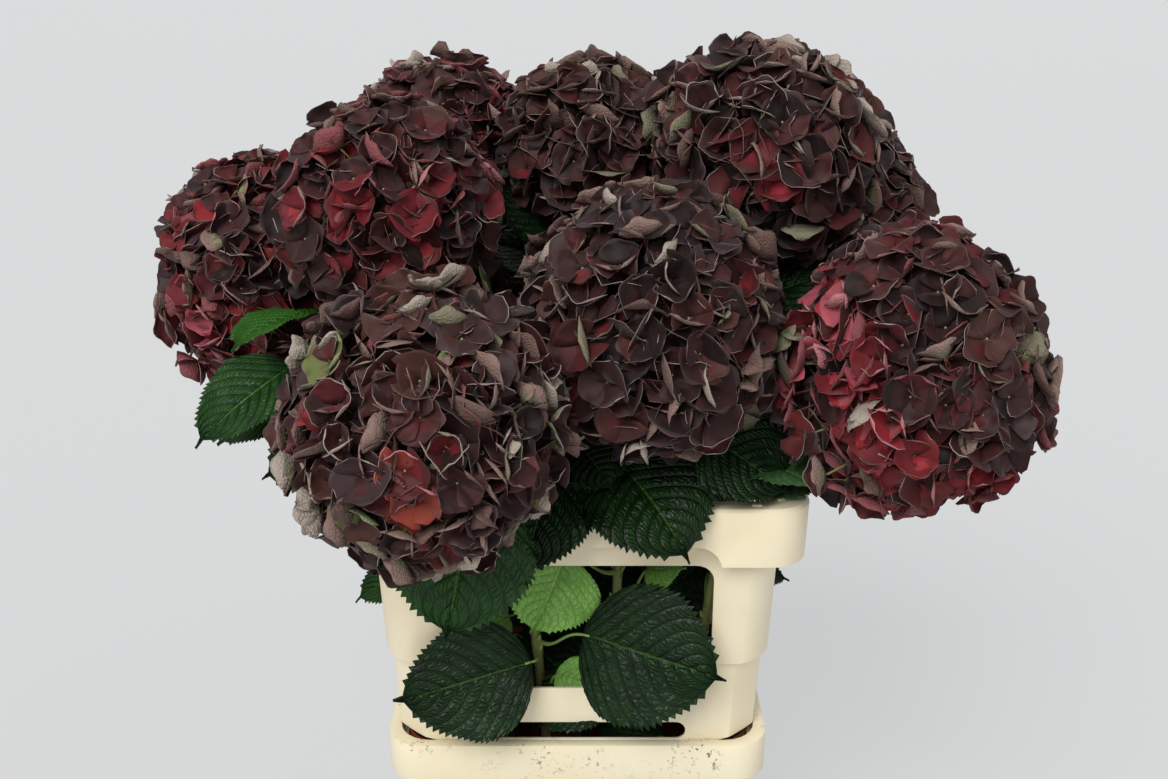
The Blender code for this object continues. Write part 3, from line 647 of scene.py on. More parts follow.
def leaf_finish(name, dark, light, vein_and_groove_shade, rib, gloss, relief, net=None):
    """A leaf's surface: mottled, with ridges between the veins that follow the leaf's own map. The ridges
    are painted lighter, a painted highlight, and the veins darker, partly painted shade in their grooves;
    on the under side a net of fine veins of the colour net is painted darker, partly painted shade in its
    grooves."""
    coat = Finish(name, dark, gloss)
    coat.feed("Specular IOR Level", 0.22)
    ribs = coat.node("SeparateXYZ", {0: coat.node("UVMap", {}, uv_map="ribs")["UV"]})
    phase = coat.work("PINGPONG", ribs["X"], 0.5)
    main = coat.between(phase, 0.03, 0.11, 1.0, 0.0)
    middle = coat.between(ribs["Y"], 0.008, 0.026, 1.0, 0.0)
    sheen = coat.noise(90.0, 3.0)
    coat.feed("Roughness", coat.between(sheen, 0.3, 0.7, gloss - 0.05, gloss + 0.12))
    wander = coat.times(coat.noise(85.0, 2.0), 3.4)
    stagger = coat.times(coat.work("FLOOR", ribs["X"]), 0.37)
    rungs = coat.plus(coat.times(ribs["Y"], 12.0), stagger)
    rungs = coat.work("PINGPONG", coat.plus(rungs, wander), 0.5)
    ridge = coat.between(rungs, 0.02, 0.34)
    ridge = coat.times(ridge, coat.between(phase, 0.03, 0.30))
    uneven = coat.between(coat.noise(34.0, 2.0), 0.32, 0.66, 0.40, 1.0)
    height = coat.times(ridge, uneven)
    mottled = coat.between(coat.noise(48.0, 5.0, 0.65), 0.34, 0.68, 0.0, 0.5)
    # The blade is painted lighter on its ridges, a painted highlight, on top of its own mottling.
    share = coat.plus(coat.times(height, 0.5), mottled)
    paint = coat.blend(share, dark, light)
    # The veins are painted darker, partly painted shade in their sunken grooves.
    paint = coat.blend(coat.times(main, 0.6), paint, vein_and_groove_shade)
    paint = coat.blend(coat.times(middle, 0.7), paint, rib)
    # The under side's net is painted darker, partly painted shade in its grooves.
    if net:
        paint = coat.blend(coat.between(coat.cells(190.0), 0.03, 0.14, 0.5, 0.0), paint, net)
    coat.feed("Base Color", paint)
    pillow = coat.times(coat.between(phase, 0.0, 0.16), 0.55)
    grain = coat.times(coat.noise(420.0, 2.0), 0.22)
    height = coat.plus(coat.plus(height, pillow), grain)
    coat.relief(height, relief, 0.0014)
    return coat.look


leaf_tops = {name: leaf_finish("leaf_top_" + name, *colours, 0.36, 0.90)
             for name, colours in LEAF_LOOKS.items()}
leaf_under = leaf_finish("leaf_under", "#67943F", "#8BB960", "#567F3C", "#9CC474", 0.62, -0.6, "#4F7833")
leaf_under_dull = leaf_finish("leaf_under_dull", "#2C4A26", "#406238", "#587C48", "#789C5C", 0.66, -0.6,
                              "#243E20")
stalk_look = grained("leaf_stalk", "#5E7C38", "#7E9A50", 0.5, 220.0)


def blade_half_width(share):
    """A broad oval with a thin, drawn-out tip, 1 at its widest."""
    body = math.sin(math.pi * min(share / 0.92, 1.0) ** 0.76) ** 0.66 if share < 0.92 else 0.0
    return max(body, 0.085 * ((1 - share) / 0.14) ** 0.8 if share > 0.86 else 0.0)


def leaf_blade(leaf, rng, teeth, steps):
    """The blade's rows of points above and below, with each point's place on the ribs map."""
    base, tip = Vector(leaf.base), Vector(leaf.tip)
    along = (tip - base).normalized()
    face = Vector(leaf.face)
    face = (face - face.dot(along) * along).normalized()
    side = along.cross(face)
    length = (tip - base).length
    size = leaf.width / USUAL_WIDTH
    shares = []
    for tooth in range(teeth):
        start, step = tooth / teeth, 1 / teeth
        shares += [start * 0.95 + 0.003, (start + 0.62 * step) * 0.95 + 0.003]
    shares += [0.955, 0.968, 0.980, 0.992]
    wave = [rng.uniform(0, 6.28) for _ in range(3)]
    sway = rng.uniform(-0.03, 0.03) * length
    bites = [rng.uniform(0.65, 1.25) for _ in shares]
    upper, lower, ribs = [], [], []
    for row, share in enumerate(shares):
        end = max(0.0, share - 0.82) / 0.18
        middle = base.lerp(tip, share) + 4 * leaf.arch * share * (1 - share) * face
        middle = middle + sway * end ** 2 * side
        half = max(leaf.width / 2 * blade_half_width(share), 0.0008)
        tooth = row % 2 == 1 and 0.03 < share < 0.90
        for sign in (-1, 1):
            columns = steps if sign > 0 else steps[:0:-1]
            for v in columns:
                reach = half * v
                slip = 0.0
                if v == 1.0 and tooth:
                    reach += TOOTH_OUT * size * bites[row]
                    slip = TOOTH_ON * size * bites[row]
                phase = (share - 0.24 * v - 0.14 * v * v) * VEINS
                swell = abs(math.sin(math.pi * phase)) ** 0.8 * (1 - v ** 6) * min(1.0, v / 0.10)
                lift = QUILT_RISE * size * swell - MIDRIB_SINK * size * (1 - min(1.0, v / 0.10))
                lift += 0.17 * half * v ** 1.3 - 0.07 * half
                edge = math.sin(share * 11 + wave[0] + sign) + 0.6 * math.sin(share * 23 + wave[1] * sign)
                lift += EDGE_WAVE * size * v ** 3 * edge
                lift -= 0.045 * length * end ** 1.5
                point = middle + sign * reach * side + slip * along + lift * face
                thick = SKIN_BELOW + 0.00025 * (1 - v)
                if v < 0.03:
                    thick += 0.0010 * size * (1 - 0.7 * share)
                upper.append(point + SKIN_ABOVE * face)
                lower.append(point - thick * face)
                ribs.append((phase + 40.0, v))
    return upper, lower, ribs, len(shares)


def close_sheet(above, rows, columns):
    """The faces below a grid of faces and those round its rim, which make a closed sheet of it."""
    count = rows * columns
    below = [tuple(count + face[k] for k in (0, 3, 2, 1)) for face in above]
    loop = [i * columns for i in range(rows)] + list(range(count - columns + 1, count))
    loop += [i * columns + columns - 1 for i in range(rows - 2, -1, -1)] + list(range(columns - 2, 0, -1))
    return below, [(b, a, count + a, count + b) for a, b in zip(loop, loop[1:] + loop[:1])]


def grow_leaf(skin, leaf, axis, upward, radius, teeth=TEETH, steps=LEAF_ACROSS):
    """Adds a leaf and its stalk to a skin, and returns the ribs map of all of its points."""
    rng = random.Random("leaf " + leaf.name)
    upper, lower, ribs, rows = leaf_blade(leaf, rng, teeth, steps)
    wide = 2 * len(steps) - 1
    starts = [row * wide + column for row in range(rows - 1) for column in range(wide - 1)]
    above = [(a, a + 1, a + wide + 1, a + wide) for a in starts]
    below, rim = close_sheet(above, rows, wide)
    top = 1 if leaf.looks == "turned" else 0
    slots = [top] * len(above) + [1 - top] * len(below) + [top] * len(rim)
    skin.add(upper + lower, above + below + rim, slots)
    base = Vector(leaf.base)
    along = (Vector(leaf.tip) - base).normalized()
    out = base - axis
    out = (out - out.dot(upward) * upward).normalized()
    root = axis + radius * 0.8 * out
    reach = (base - root).length
    end = base + 0.006 * along
    bend = [root, root + 0.4 * reach * out, base - 0.3 * reach * along, end]
    radii = [0.0026 - 0.0012 * min(1.0, t / 4) - 0.0002 * t / STALK_STEPS for t in range(STALK_STEPS + 1)]
    skin.curve(bend, radii, STALK_SIDES, 2)
    return ribs + ribs + [(0.0, 0.5)] * (len(radii) * STALK_SIDES)


def map_ribs(made, ribs):
    """Gives a leaf's mesh its ribs map."""
    mesh = made.data
    layer = mesh.uv_layers.new(name="ribs")
    corners = np.zeros(len(mesh.loops), np.int32)
    mesh.loops.foreach_get("vertex_index", corners)
    layer.uv.foreach_set("vector", np.array(ribs, np.float32)[corners].reshape(-1))


for leaf in LEAVES:
    skin = Skin()
    ribs = grow_leaf(skin, leaf, *stem_at(HEAD_OF[leaf.head], leaf.height))
    top = leaf_tops["green" if leaf.looks == "turned" else leaf.looks]
    under = leaf_under if leaf.looks in ("turned", "young") else leaf_under_dull
    made = skin.piece("leaf_blade_" + leaf.name, [top, under, stalk_look], 60)
    map_ribs(made, ribs)
    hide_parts("leaf_" + leaf.name)

# Leaves inside the crown: stem, height on it, bearing, length, width, drop, and looks if not deep.
INNER_LEAVES = (
    ("top_middle", 0.345, -62, 0.085, 0.075, -0.55), ("top_middle", 0.405, -150, 0.080, 0.070, -0.40),
    ("top_middle", 0.445, -75, 0.070, 0.060, -0.30), ("top_left", 0.335, -35, 0.085, 0.070, -0.50),
    ("top_left", 0.420, -80, 0.075, 0.065, -0.35), ("top_right", 0.330, -160, 0.080, 0.070, -0.50),
    ("top_right", 0.400, 60, 0.070, 0.060, -0.35), ("back_middle", 0.360, -100, 0.080, 0.070, -0.45),
    ("back_middle", 0.430, -40, 0.075, 0.065, -0.40), ("back_low", 0.410, -140, 0.075, 0.065, -0.45),
    ("back_right", 0.370, -165, 0.085, 0.070, -0.45), ("back_right", 0.430, -110, 0.075, 0.065, -0.35),
    ("back_left", 0.395, -25, 0.080, 0.070, -0.45), ("middle_left", 0.385, 35, 0.075, 0.065, -0.40),
    ("centre", 0.330, 110, 0.070, 0.060, -0.45), ("right", 0.420, 165, 0.070, 0.060, -0.40),
    ("far_left", 0.425, -5, 0.075, 0.060, -0.35), ("centre", 0.290, -150, 0.075, 0.065, -0.60),
    ("top_middle", 0.270, -50, 0.085, 0.075, -0.60), ("top_left", 0.260, -45, 0.080, 0.070, -0.70),
    ("top_right", 0.280, -85, 0.080, 0.070, -0.60), ("back_right", 0.300, -120, 0.085, 0.075, -0.60),
    ("right", 0.330, 130, 0.080, 0.070, -0.60), ("back_middle", 0.280, -70, 0.085, 0.075, -0.60),
    ("right", 0.450, 120, 0.075, 0.065, -0.30), ("top_right", 0.440, -60, 0.075, 0.065, -0.30),
    ("right", 0.415, 100, 0.080, 0.075, -1.00), ("back_right", 0.440, -95, 0.090, 0.080, -1.00),
    ("back_right", 0.360, -100, 0.085, 0.080, -0.80), ("top_right", 0.400, -20, 0.075, 0.075, -1.10),
    ("top_right", 0.450, -10, 0.075, 0.070, -1.30), ("middle_left", 0.440, 0, 0.080, 0.080, -1.20),
    ("top_left", 0.430, -60, 0.085, 0.080, -1.20), ("top_middle", 0.440, -120, 0.090, 0.085, -1.20),
    ("top_middle", 0.420, -20, 0.085, 0.080, -1.20), ("top_left", 0.360, -120, 0.080, 0.080, -1.00),
    ("middle_left", 0.370, -60, 0.060, 0.060, -1.00), ("top_middle", 0.330, -100, 0.080, 0.080, -1.00),
    ("back_middle", 0.445, -120, 0.085, 0.080, -1.20), ("back_low", 0.440, -100, 0.085, 0.080, -1.20),
    ("middle_left", 0.300, -25, 0.080, 0.070, -0.60), ("top_middle", 0.600, -100, 0.095, 0.085, 0.25),
    ("top_middle", 0.560, -40, 0.090, 0.080, 0.05), ("top_right", 0.600, -120, 0.085, 0.075, 0.10),
    ("top_left", 0.600, -60, 0.090, 0.080, 0.20), ("middle_left", 0.570, -20, 0.085, 0.075, 0.15),
    ("back_right", 0.560, -70, 0.085, 0.075, 0.05), ("back_middle", 0.500, 30, 0.085, 0.075, -0.10),
    ("back_left", 0.500, 150, 0.085, 0.070, -0.20), ("centre", 0.520, 40, 0.075, 0.065, -0.10),
    ("right", 0.505, -62, 0.070, 0.070, 0.10, "turned"), ("right", 0.490, -15, 0.078, 0.070, 0.05, "turned"),
    ("top_middle", 0.665, 172, 0.085, 0.095, 0.85), ("top_middle", 0.635, 165, 0.085, 0.080, 0.25),
    ("top_right", 0.610, -12, 0.110, 0.095, 0.45), ("right", 0.540, 25, 0.085, 0.080, 0.35),
    ("right", 0.525, -5, 0.080, 0.075, 0.15), ("right", 0.515, 40, 0.080, 0.075, 0.05),
    ("top_middle", 0.480, 40, 0.085, 0.085, -0.05), ("back_middle", 0.485, -120, 0.075, 0.075, 0.05),
    ("top_right", 0.500, 120, 0.080, 0.075, 0.00),
)
skin, ribs = Skin(), []
for number, (stem, height, bearing, length, width, drop, *looks) in enumerate(INNER_LEAVES):
    axis, upward, radius = stem_at(HEAD_OF[stem], height)
    away = Vector((math.cos(math.radians(bearing)), math.sin(math.radians(bearing)), 0))
    base = axis + 0.016 * away + 0.006 * UP
    tip = base + length * (away + drop * UP).normalized()
    face = away * 0.3 + Vector((0, -0.3 + 1.6 * min(0.0, drop), 0.8))
    leaf = Leaf("inner_%d" % number, stem, height, base, tip, face, width, 0.008, *(looks or ["deep"]))
    ribs += grow_leaf(skin, leaf, axis, upward, radius, INNER_TEETH, INNER_ACROSS)
inner_leaves = skin.piece("inner_leaves", [leaf_tops["deep"], leaf_under_dull, stalk_look], 60)
map_ribs(inner_leaves, ribs)

# Flower heads
# Each head is a ball of sterile flowers on a branched stalk: the stem splits into rays, the rays into
# thin stalks, and each stalk ends in four broad, cupped sepals round a small bead. Old heads turn
# maroon and crimson above and dusty pink and green below, and some sepals keep a thin pale rim,
# its paleness partly a painted highlight along the edge.
UPPER = {
    "night": "#201413", "maroon": "#2E1716", "wine": "#3B1D1B", "plum": "#392829", "brown": "#432722",
    "garnet": "#491A1A", "crimson": "#611A1F", "scarlet": "#842329", "rose": "#984650", "ember": "#7F3427",
    "fresh": "#60653A",
}
UNDER = {
    "taupe": "#80685F", "dusk": "#654E47", "sage": "#75705B", "silver": "#9E9185", "blush": "#A86E70",
    "rosewood": "#7C4446", "lime": "#818A60", "shade": "#3A2A27",
}
# The pale rim colours, frost and petal, are partly a painted highlight along the sepals' edges.
RIM_TONE_AND_HIGHLIGHT = {"frost": "#9A8B83", "ash": "#604D49", "petal": "#A87476"}
# What each colour turns to at a sepal's heart (brighter, partly a painted glow of light through the thin
# sepal) and at its edge (dustier, partly a painted sheen).
HEART_TONE_AND_GLOW = dict(night="maroon", maroon="wine", wine="garnet", plum="wine", brown="garnet",
                garnet="crimson", crimson="scarlet", scarlet="rose", rose="scarlet")
EDGE_TONE_AND_SHEEN = dict(night="plum", maroon="plum", wine="brown", garnet="wine", crimson="garnet",
               scarlet="crimson", rose="scarlet")
# Shares of the colours above, below and round the rim. Heads not named further on are dark.
PALETTES = {
    "dark": (dict(night=24, maroon=34, wine=20, plum=8, garnet=8, brown=6),
             dict(taupe=40, dusk=20, sage=16, silver=24), dict(frost=35, ash=65)),
    "dusty": (dict(night=18, maroon=28, wine=18, plum=18, brown=12, garnet=6),
              dict(taupe=52, sage=20, silver=14, dusk=14), dict(frost=45, ash=55)),
    "red": (dict(night=14, maroon=22, wine=20, garnet=22, crimson=14, scarlet=3, plum=5),
            dict(rosewood=42, blush=6, taupe=28, dusk=14, silver=10), dict(frost=25, petal=30, ash=45)),
    "bright": (dict(garnet=14, crimson=34, scarlet=16, rose=36),
               dict(blush=60, rosewood=25, silver=15), dict(petal=70, ash=30)),
    "ruby": (dict(crimson=70, garnet=30), dict(rosewood=70, blush=30), dict(ash=100)),
    "ember": (dict(ember=72, garnet=28), dict(blush=60, lime=40), dict(petal=100)),
    "faded": (dict(plum=40, brown=40, maroon=20), dict(silver=45, sage=25, taupe=30), dict(frost=100)),
    "fresh": (dict(fresh=60, brown=40), dict(lime=80, sage=20), dict(frost=100)),
}
HEAD_PALETTE = dict(middle_left="red", far_left="red", right="red", top_left="red",
                    front_left="dusty", back_low="dusty")
# Spots in a head with a palette of their own: where, how far round it, and the palette.
TINTS = {
    "front_left": (
        ((-0.120, -0.325, 0.565), 0.031, "ember"), ((-0.161, -0.265, 0.686), 0.016, "bright"),
        ((-0.189, -0.260, 0.667), 0.013, "fresh"), ((-0.165, -0.294, 0.528), 0.018, "fresh"),
        ((-0.191, -0.285, 0.638), 0.026, "red"), ((-0.103, -0.247, 0.704), 0.045, "faded"),
    ),
    "centre": (
        ((0.003, -0.190, 0.712), 0.036, "red"), ((-0.030, -0.130, 0.720), 0.035, "faded"),
        ((0.003, -0.205, 0.695), 0.014, "bright"), ((0.127, -0.191, 0.581), 0.026, "red"),
    ),
    "right": (
        ((0.190, -0.175, 0.640), 0.066, "bright"), ((0.205, -0.222, 0.597), 0.030, "bright"),
        ((0.250, -0.230, 0.545), 0.040, "bright"), ((0.330, -0.225, 0.650), 0.085, "dark"),
        ((0.305, -0.215, 0.515), 0.050, "ruby"),
    ),
    "middle_left": (
        ((-0.182, -0.127, 0.719), 0.022, "ruby"), ((-0.128, -0.121, 0.715), 0.016, "bright"),
        ((-0.108, -0.100, 0.763), 0.020, "ruby"),
    ),
    "far_left": (((-0.320, -0.025, 0.590), 0.030, "bright"),),
    "top_right": (
        ((0.159, -0.093, 0.746), 0.016, "bright"), ((0.218, -0.079, 0.739), 0.014, "fresh"),
        ((0.229, -0.063, 0.806), 0.018, "faded"),
    ),
    "top_middle": (((-0.037, 0.012, 0.748), 0.014, "fresh"),),
}
# Lobes of a head as the camera sees it: bearing from the right, how far out, and how wide an angle.
LOBES = {
    "right": ((50, -0.18, 0.80), (190, 0.10, 0.50), (10, -0.05, 0.35), (222, 0.15, 0.38), (28, -0.06, 0.25),
              (-40, 0.08, 0.35)),
    "back_right": ((30, -0.24, 0.75),),
    "top_right": ((143, 0.11, 0.50), (75, -0.09, 0.60), (20, -0.10, 0.50)),
    "top_middle": ((45, 0.14, 0.50), (90, -0.05, 0.40)),
    "top_left": ((95, -0.18, 0.45), (140, 0.08, 0.35)),
    "middle_left": ((120, -0.18, 0.50),),
    "far_left": ((175, -0.12, 0.60), (245, 0.20, 0.45), (110, 0.07, 0.40), (205, 0.08, 0.30)),
    "front_left": ((250, 0.13, 0.60),),
    "centre": ((90, -0.05, 0.50), (270, 0.05, 0.50), (-15, 0.06, 0.50)),
}
VIEW_BACK, VIEW_UP = 0.326, 0.945
# How near the stem florets still grow, as a cosine, how many are cupped, and how large they are.
OPEN_TO = dict(right=0.95)
CUPPED = dict(front_left=0.36, centre=0.20, back_low=0.28, top_middle=0.24, far_left=0.22)
FLORET_SIZE = dict(centre=0.0240, top_right=0.0245, top_middle=0.0235, front_left=0.0218, right=0.0215,
                   middle_left=0.0210, far_left=0.0208, top_left=0.0215)
USUAL_SIZE, USUAL_OPEN_TO, USUAL_CUPPED = 0.0220, 0.86, 0.17
# Rows of a sepal: how far along, how wide, and how far its sides fall back.
OUTER_ROWS = np.array(((0.05, 0.14, 0.0), (0.32, 0.68, 0.05), (0.60, 1.0, 0.11), (0.84, 0.84, 0.15),
                       (1.0, 0.46, 0.17)))
INNER_ROWS = np.array(((0.05, 0.16, 0.0), (0.52, 0.95, 0.08), (1.0, 0.62, 0.15)))
# Forms of a floret: the ranges of the three angles by which its sepals rise.
BOWL = ((0.15, 0.50), (0.35, 0.80), (0.20, 0.95))
CURLED = ((0.25, 0.60), (0.05, 0.40), (-1.10, -0.20))
CUP = ((0.40, 0.80), (0.70, 1.30), (0.40, 1.60))
SHUT = ((0.5, 1.0), (1.2, 1.9), (1.7, 2.7))
SEPAL_THICKNESS, SEPAL_RIM = 0.00036, 0.00038
FLORET_AREA, FLORET_DEPTH = 0.00092, 0.017
LAYERS = ((1.0, 1.0), (1.35, 0.82))
HUBS, HUB_REACH = 15, 0.42
GOLDEN = math.pi * (3 - math.sqrt(5))


def petal_finish(name, colour, roughness, sheen=0.0, tint="#FFFFFF", veined=0.0):
    """A sepal's surface: one plain colour, velvety, with a faint crinkle, or a net of raised veins."""
    coat = Finish(name, colour, roughness)
    coat.feed("Specular IOR Level", 0.20)
    coat.feed("Sheen Weight", sheen)
    coat.feed("Sheen Roughness", 0.45)
    coat.feed("Sheen Tint", tint)
    if veined:
        veins = coat.between(coat.cells(330.0), 0.0, 0.30, 1.0, 0.0)
        coat.relief(veins, veined, 0.0008)
    else:
        coat.relief(coat.noise(330.0, 2.0), 0.35, 0.0005)
    return coat.look


floret_looks, slot_of = [], {}
for sort, colours, finish in (("sepal_", UPPER, (0.60, 0.14, "#C8B0B4", -0.25)),
                              ("sepal_under_", UNDER, (0.70, 0.06, "#E0D4D0", 0.65)),
                              ("sepal_rim_", RIM_TONE_AND_HIGHLIGHT, (0.65,))):
    for name, colour in colours.items():
        slot_of[name] = len(floret_looks)
        floret_looks.append(petal_finish(sort + name, colour, *finish))
ray_looks = [petal_finish("flower_stalk", "#66683A", 0.60),
             petal_finish("flower_stalk_red", "#5A3430", 0.60)]
bead_looks = [petal_finish("flower_bead", "#8E8158", 0.50),
              petal_finish("flower_bead_red", "#5E3E2C", 0.50)]
Plan = namedtuple("Plan", "rows across faces zones")


def sepal_plan(rows):
    """A closed sepal as wide in points as long, with the zone that each of its faces belongs to."""
    above, zones, columns = [], [], len(rows)
    for i in range(columns - 1):
        for j in range(columns - 1):
            a = i * columns + j
            above.append((a, a + columns, a + columns + 1, a + 1))
            middle = 0 < j < columns - 2
            zones.append("claw" if i == 0 else "heart" if i == 1 and middle else "edge" if i == 3 else "top")
    below, rim = close_sheet(above, columns, columns)
    zones += ["low " + zone for zone in zones] + ["rim"] * len(rim)
    return Plan(rows, np.linspace(-1, 1, columns), above + below + rim, zones)


OUTER_SEPAL, INNER_SEPAL = sepal_plan(OUTER_ROWS), sepal_plan(INNER_ROWS)


def sepal(plan, length, half, angles, cup, wave, phase, skew, blunt, border):
    """One sepal on +X. Its midline rises by three angles in turn, and it is cupped across."""
    rows, across = plan.rows, plan.across[None, :]
    t = np.linspace(0, 1, 25)
    turn = angles[0] + (angles[1] - angles[0]) * np.minimum(t / 0.6, 1)
    turn = turn + (angles[2] - angles[1]) * np.maximum(0, (t - 0.6) / 0.4)
    x = np.concatenate(([0], np.cumsum(np.cos(turn[:-1]) / 24)))
    z = np.concatenate(([0], np.cumsum(np.sin(turn[:-1]) / 24)))
    layers = []
    for grow, drop in ((-border, 0.0), (0.0, SEPAL_THICKNESS)):
        s = np.clip(rows[:, :1] - rows[:, 2:] * across ** 2, 0, 1)
        wide = rows[:, 1:2] * (half + grow)
        wide[-1] *= blunt
        lean = np.interp(s, t, turn)
        lift = cup * wide * across ** 2 - 0.04 * length * (1 - np.abs(across)) * np.sin(np.pi * s)
        ripple = np.sin(phase + 6.0 * s + 2.5 * across)
        lift = lift + wave * length * ripple * np.abs(across) ** 1.5 * s - drop
        broad = wide * across * (1 - 0.22 * abs(cup) * np.abs(across) + 0.25 * skew * across)
        grid = np.stack([np.interp(s, t, x) * (length + grow) - np.sin(lean) * lift,
                         broad + skew * length * s * s,
                         np.interp(s, t, z) * (length + grow) + np.cos(lean) * lift], axis=2)
        layers.append(grid.reshape(-1, 3))
    return np.vstack(layers)


def pick(rng, shares):
    """One of the names in a table of shares, at random."""
    return rng.choices(list(shares), list(shares.values()))[0]


def add_floret(skin, beads, rng, middle, facing, size, palette, inner, cupped):
    """A flower of four sepals, two over two, that faces along facing."""
    uppers, unders, rims = PALETTES[palette]
    top, low, rim = pick(rng, uppers), pick(rng, unders), pick(rng, rims)
    aim = facing.to_track_quat("Z", "Y").to_matrix() @ Matrix.Rotation(rng.uniform(0, math.pi / 2), 3, "Z")
    count = 5 if rng.random() < 0.07 else 4
    kind = rng.random()
    form = BOWL if kind < 0.74 - cupped else CURLED if kind < 1 - cupped else CUP
    plan = INNER_SEPAL if inner else OUTER_SEPAL
    for i in range(count):
        length = size * rng.uniform(0.90, 1.10) * (1.05 - 0.10 * (i % 2))
        half = length * rng.uniform(0.64, 0.86) * (4 / count) ** 0.5
        if form is BOWL:
            half *= 1.12
        angles = [rng.uniform(*span) for span in form]
        if rng.random() < 0.45 * cupped:
            angles = [rng.uniform(*span) for span in SHUT]
        elif rng.random() < 0.13:
            angles = [angle + rng.uniform(-0.4, 0.6) for angle in angles]
        shape = sepal(plan, length, half, angles, rng.uniform(-0.20, 0.45), rng.uniform(0.03, 0.11),
                      rng.uniform(0, 6.28), rng.uniform(-0.14, 0.14), rng.uniform(0.75, 1.10),
                      SEPAL_RIM * rng.uniform(0.35, 1.35))
        shape[:, 2] += 0.0010 * (i % 2)
        spin = Matrix.Rotation(2 * math.pi * i / count + rng.uniform(-0.12, 0.12), 3, "Z")
        # Most sepals share the floret's colours, with another tone at the heart (partly painted glow), the
        # edge (partly painted sheen) and the rim (partly painted highlight).
        mine = top if rng.random() < 0.65 else pick(rng, uppers)
        heart = HEART_TONE_AND_GLOW.get(mine, mine) if rng.random() < 0.35 else mine
        edge = EDGE_TONE_AND_SHEEN.get(mine, mine) if rng.random() < 0.5 else mine
        pale = low in ("taupe", "sage", "silver")
        claw = rng.choices((low, "sage", "lime"), (5, 3, 2))[0] if pale else low
        border = rim if rng.random() < 0.30 else edge if rng.random() < 0.7 else "ash"
        names = {"top": mine, "claw": heart, "heart": heart, "edge": edge, "rim": border,
                 "low top": low, "low claw": claw, "low heart": claw, "low edge": low}
        # Florets of the inner layer get painted shade: their undersides take the dark shade colour in dark
        # heads and rosewood in the rest, and their rims take the under colour.
        if inner:
            names.update({"rim": low, "low top": "shade" if palette == "dark" else "rosewood"})
        placed = shape @ np.array(aim @ spin).T + np.array(middle)
        skin.add(placed, plan.faces, [slot_of[names[zone]] for zone in plan.zones])
    bead = [Vector(middle) + facing * d for d in (-0.0004, 0.0009, 0.0019)]
    if not inner:
        beads.limb(bead, [0.0008, 0.0013, 0.0006], 5, 0 if rng.random() < 0.6 else 1)


def lumpy(name, unit, phases):
    """How far a head swells or shrinks in a direction, as a share of its reach."""
    x, y, z = unit
    waves = math.sin(3.1 * x + phases[0]) + math.sin(3.7 * y + phases[1]) + math.sin(4.3 * z + phases[2])
    swell = 0.018 * waves
    for bearing, amount, spread in LOBES.get(name, ()):
        turn = math.radians(bearing)
        lobe = Vector((math.cos(turn), VIEW_BACK * math.sin(turn), VIEW_UP * math.sin(turn)))
        swell += amount * math.exp(-(unit.angle(lobe) / spread) ** 2)
    return swell


def on_ball(i, count, angle):
    """One of a count of directions spread over a ball. Its number sets how high it points."""
    z = 1 - 2 * (i + 0.5) / count
    flat = math.sqrt(1 - z * z)
    return Vector((flat * math.cos(angle), flat * math.sin(angle), z))


def scaled(shape, unit):
    return Vector(a * b for a, b in zip(shape, unit))


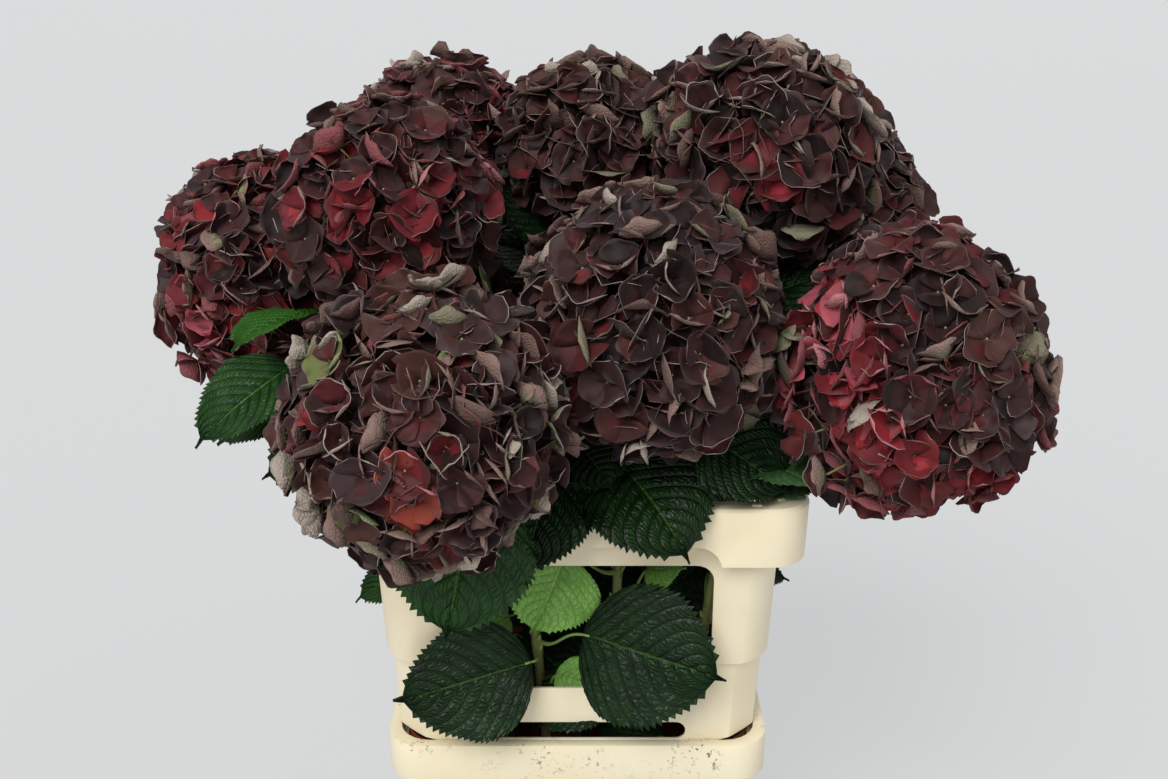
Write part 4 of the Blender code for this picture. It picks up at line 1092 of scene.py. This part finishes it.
for head in HEADS:
    rng = random.Random("floret " + head.name)
    centre, entry = Vector(head.centre), entry_of(head)
    shape = Vector(head.stretch) * head.radius
    others = [h for h in HEADS if h.name != head.name]
    phases = [rng.uniform(0, 6.28) for _ in range(3)]
    florets, beads, rays = Skin(), Skin(), Skin()
    # The stem's end splits at a hub into rays, each to a joint halfway out.
    tip = centre + STUB_SHARE * head.radius * entry
    hub = centre + HUB_REACH * head.radius * entry
    units = [on_ball(i, HUBS, GOLDEN * i) for i in range(HUBS)]
    hubs = [centre + HUB_REACH * scaled(shape, unit) for unit in units if unit.dot(entry) < 0.72]
    rays.limb([tip, tip.lerp(hub, 0.5), hub], [0.0034, 0.0034, 0.0040], 8)
    for joint in hubs:
        outward = (joint - centre).normalized()
        bow = hub.lerp(joint, 0.5) + 0.10 * head.radius * outward - 0.05 * head.radius * entry
        ray = [hub, hub.lerp(bow, 0.7), bow.lerp(joint, 0.5), joint]
        rays.curve(ray, [0.0026, 0.0022, 0.0019, 0.0017, 0.0016, 0.0019], 6)
    # Florets cover the ball in an outer layer, at three depths in turn, and in a sparser one below it.
    floret_size = FLORET_SIZE.get(head.name, USUAL_SIZE)
    share = FLORET_AREA * (floret_size / USUAL_SIZE) ** 2
    for layer, (thinned, reach) in enumerate(LAYERS):
        radius = head.radius * (1.0 if layer == 0 else 0.9)
        count = round(4 * math.pi * radius ** 2 / (thinned * share))
        for i in range(count):
            rng = random.Random("floret %s %d %d" % (head.name, layer, i))
            unit = on_ball(i, count, GOLDEN * i + rng.uniform(-0.16, 0.16) + 1.3 * layer)
            size = floret_size * rng.uniform(0.88, 1.12) * (1 + 0.3 * layer)
            swell = lumpy(head.name, unit, phases)
            depth = reach * (1 + swell) - (0.0, 0.04, 0.09)[i % 3] * (1 - layer)
            out = Vector(a / b for a, b in zip(unit, shape)).normalized()
            middle = centre + depth * scaled(shape, unit) - FLORET_DEPTH * out
            # None grows where the stem comes in, or deeper in another head than in its own.
            limit = reach_of(head, middle) - 0.07 - 0.6 * max(0.0, swell)
            at_entry = unit.dot(entry) > OPEN_TO.get(head.name, USUAL_OPEN_TO)
            if at_entry or any(reach_of(other, middle) < limit for other in others):
                continue
            away = Vector((rng.gauss(0, 1), rng.gauss(0, 1), rng.gauss(0, 1)))
            away *= 0.55 if layer == 0 and rng.random() < 0.20 else 0.17
            cupped = CUPPED.get(head.name, USUAL_CUPPED)
            # It faces outward and a little up, but a few of the outer ones show their side.
            facing = (out + 0.24 * UP - 0.10 * entry + away).normalized()
            if layer == 0 and rng.random() < 0.5 * cupped - 0.04:
                side = away.cross(out).normalized()
                facing = (side - rng.uniform(-0.3, 0.5) * out + 0.15 * away).normalized()
                cupped = -0.34
            palette = HEAD_PALETTE.get(head.name, "dark")
            for spot, around, tint in TINTS.get(head.name, ()):
                if layer == 0 and (middle + 0.016 * out - Vector(spot)).length < around:
                    palette = tint
            if palette in ("ember", "fresh"):
                facing, cupped = (out + 0.2 * away).normalized(), 0.0
            add_floret(florets, beads, rng, middle, facing, size, palette, layer == 1, cupped)
            # Its stalk comes from the nearest joint.
            joint = min(hubs, key=lambda h: (h - middle).length)
            back = middle - 0.0008 * facing
            stalk = [joint, joint.lerp(back, 0.4), back - 0.35 * (back - joint).length * facing, back]
            rays.curve(stalk, [0.0009, 0.0008, 0.0008, 0.0011], 4, 1 if rng.random() < 0.5 else 0)
    blooms = florets.piece("florets_" + head.name, floret_looks, 180)
    eyes = beads.piece("floret_beads_" + head.name, bead_looks, 180)
    stalks = rays.piece("flower_stalks_" + head.name, ray_looks, 60)
    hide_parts("head_" + head.name)

# Floor, light and camera
# A plain pale studio floor under an even pale light, with two broad, distant lamps from the front
# and one from behind. The camera stands where the photograph's did, looking down by 19 degrees.
bpy.ops.object.select_all(action="DESELECT")
bpy.ops.mesh.primitive_circle_add(vertices=96, radius=70, fill_type="NGON", location=(0, 0, -0.0005))
floor = bpy.context.object
floor.name = "studio_floor"
coat = Finish("studio_paper", "#737474", 0.9)
coat.feed("Emission Color", "#DADBDC")
coat.feed("Emission Strength", 0.68)
coat.feed("Specular IOR Level", 0.1)
coat.relief(coat.noise(60.0), 0.02, 0.001)
floor.data.materials.append(coat.look)
bpy.ops.object.transform_apply(location=True, rotation=False, scale=True)

LAMPS = (((-1.0, -2.0, 2.1), 36, 2.85), ((1.9, -1.6, 1.4), 70, 0.6), ((0.3, 1.8, 2.2), 70, 0.6))
for place, spread, power in LAMPS:
    bpy.ops.object.light_add(type="SUN", location=place)
    lamp = bpy.context.object
    lamp.data.angle = math.radians(spread)
    lamp.data.energy = power
    lamp.rotation_euler = (-Vector(place)).to_track_quat("-Z", "Y").to_euler()

world = bpy.data.worlds.new("studio")
bpy.context.scene.world = world
world.use_nodes = True
world.node_tree.nodes["Background"].inputs["Color"].default_value = tone("#E6E8EA")
world.node_tree.nodes["Background"].inputs["Strength"].default_value = 0.47

bpy.context.scene.view_settings.view_transform = "Standard"
bpy.ops.object.camera_add(location=(0.006, -1.170, 0.947), rotation=(math.radians(71), 0, 0))
camera = bpy.context.object
camera.data.sensor_width = 36.0
camera.data.lens = 36.0 * 1350 / 1168
camera.data.clip_start = 0.05
bpy.context.scene.camera = camera
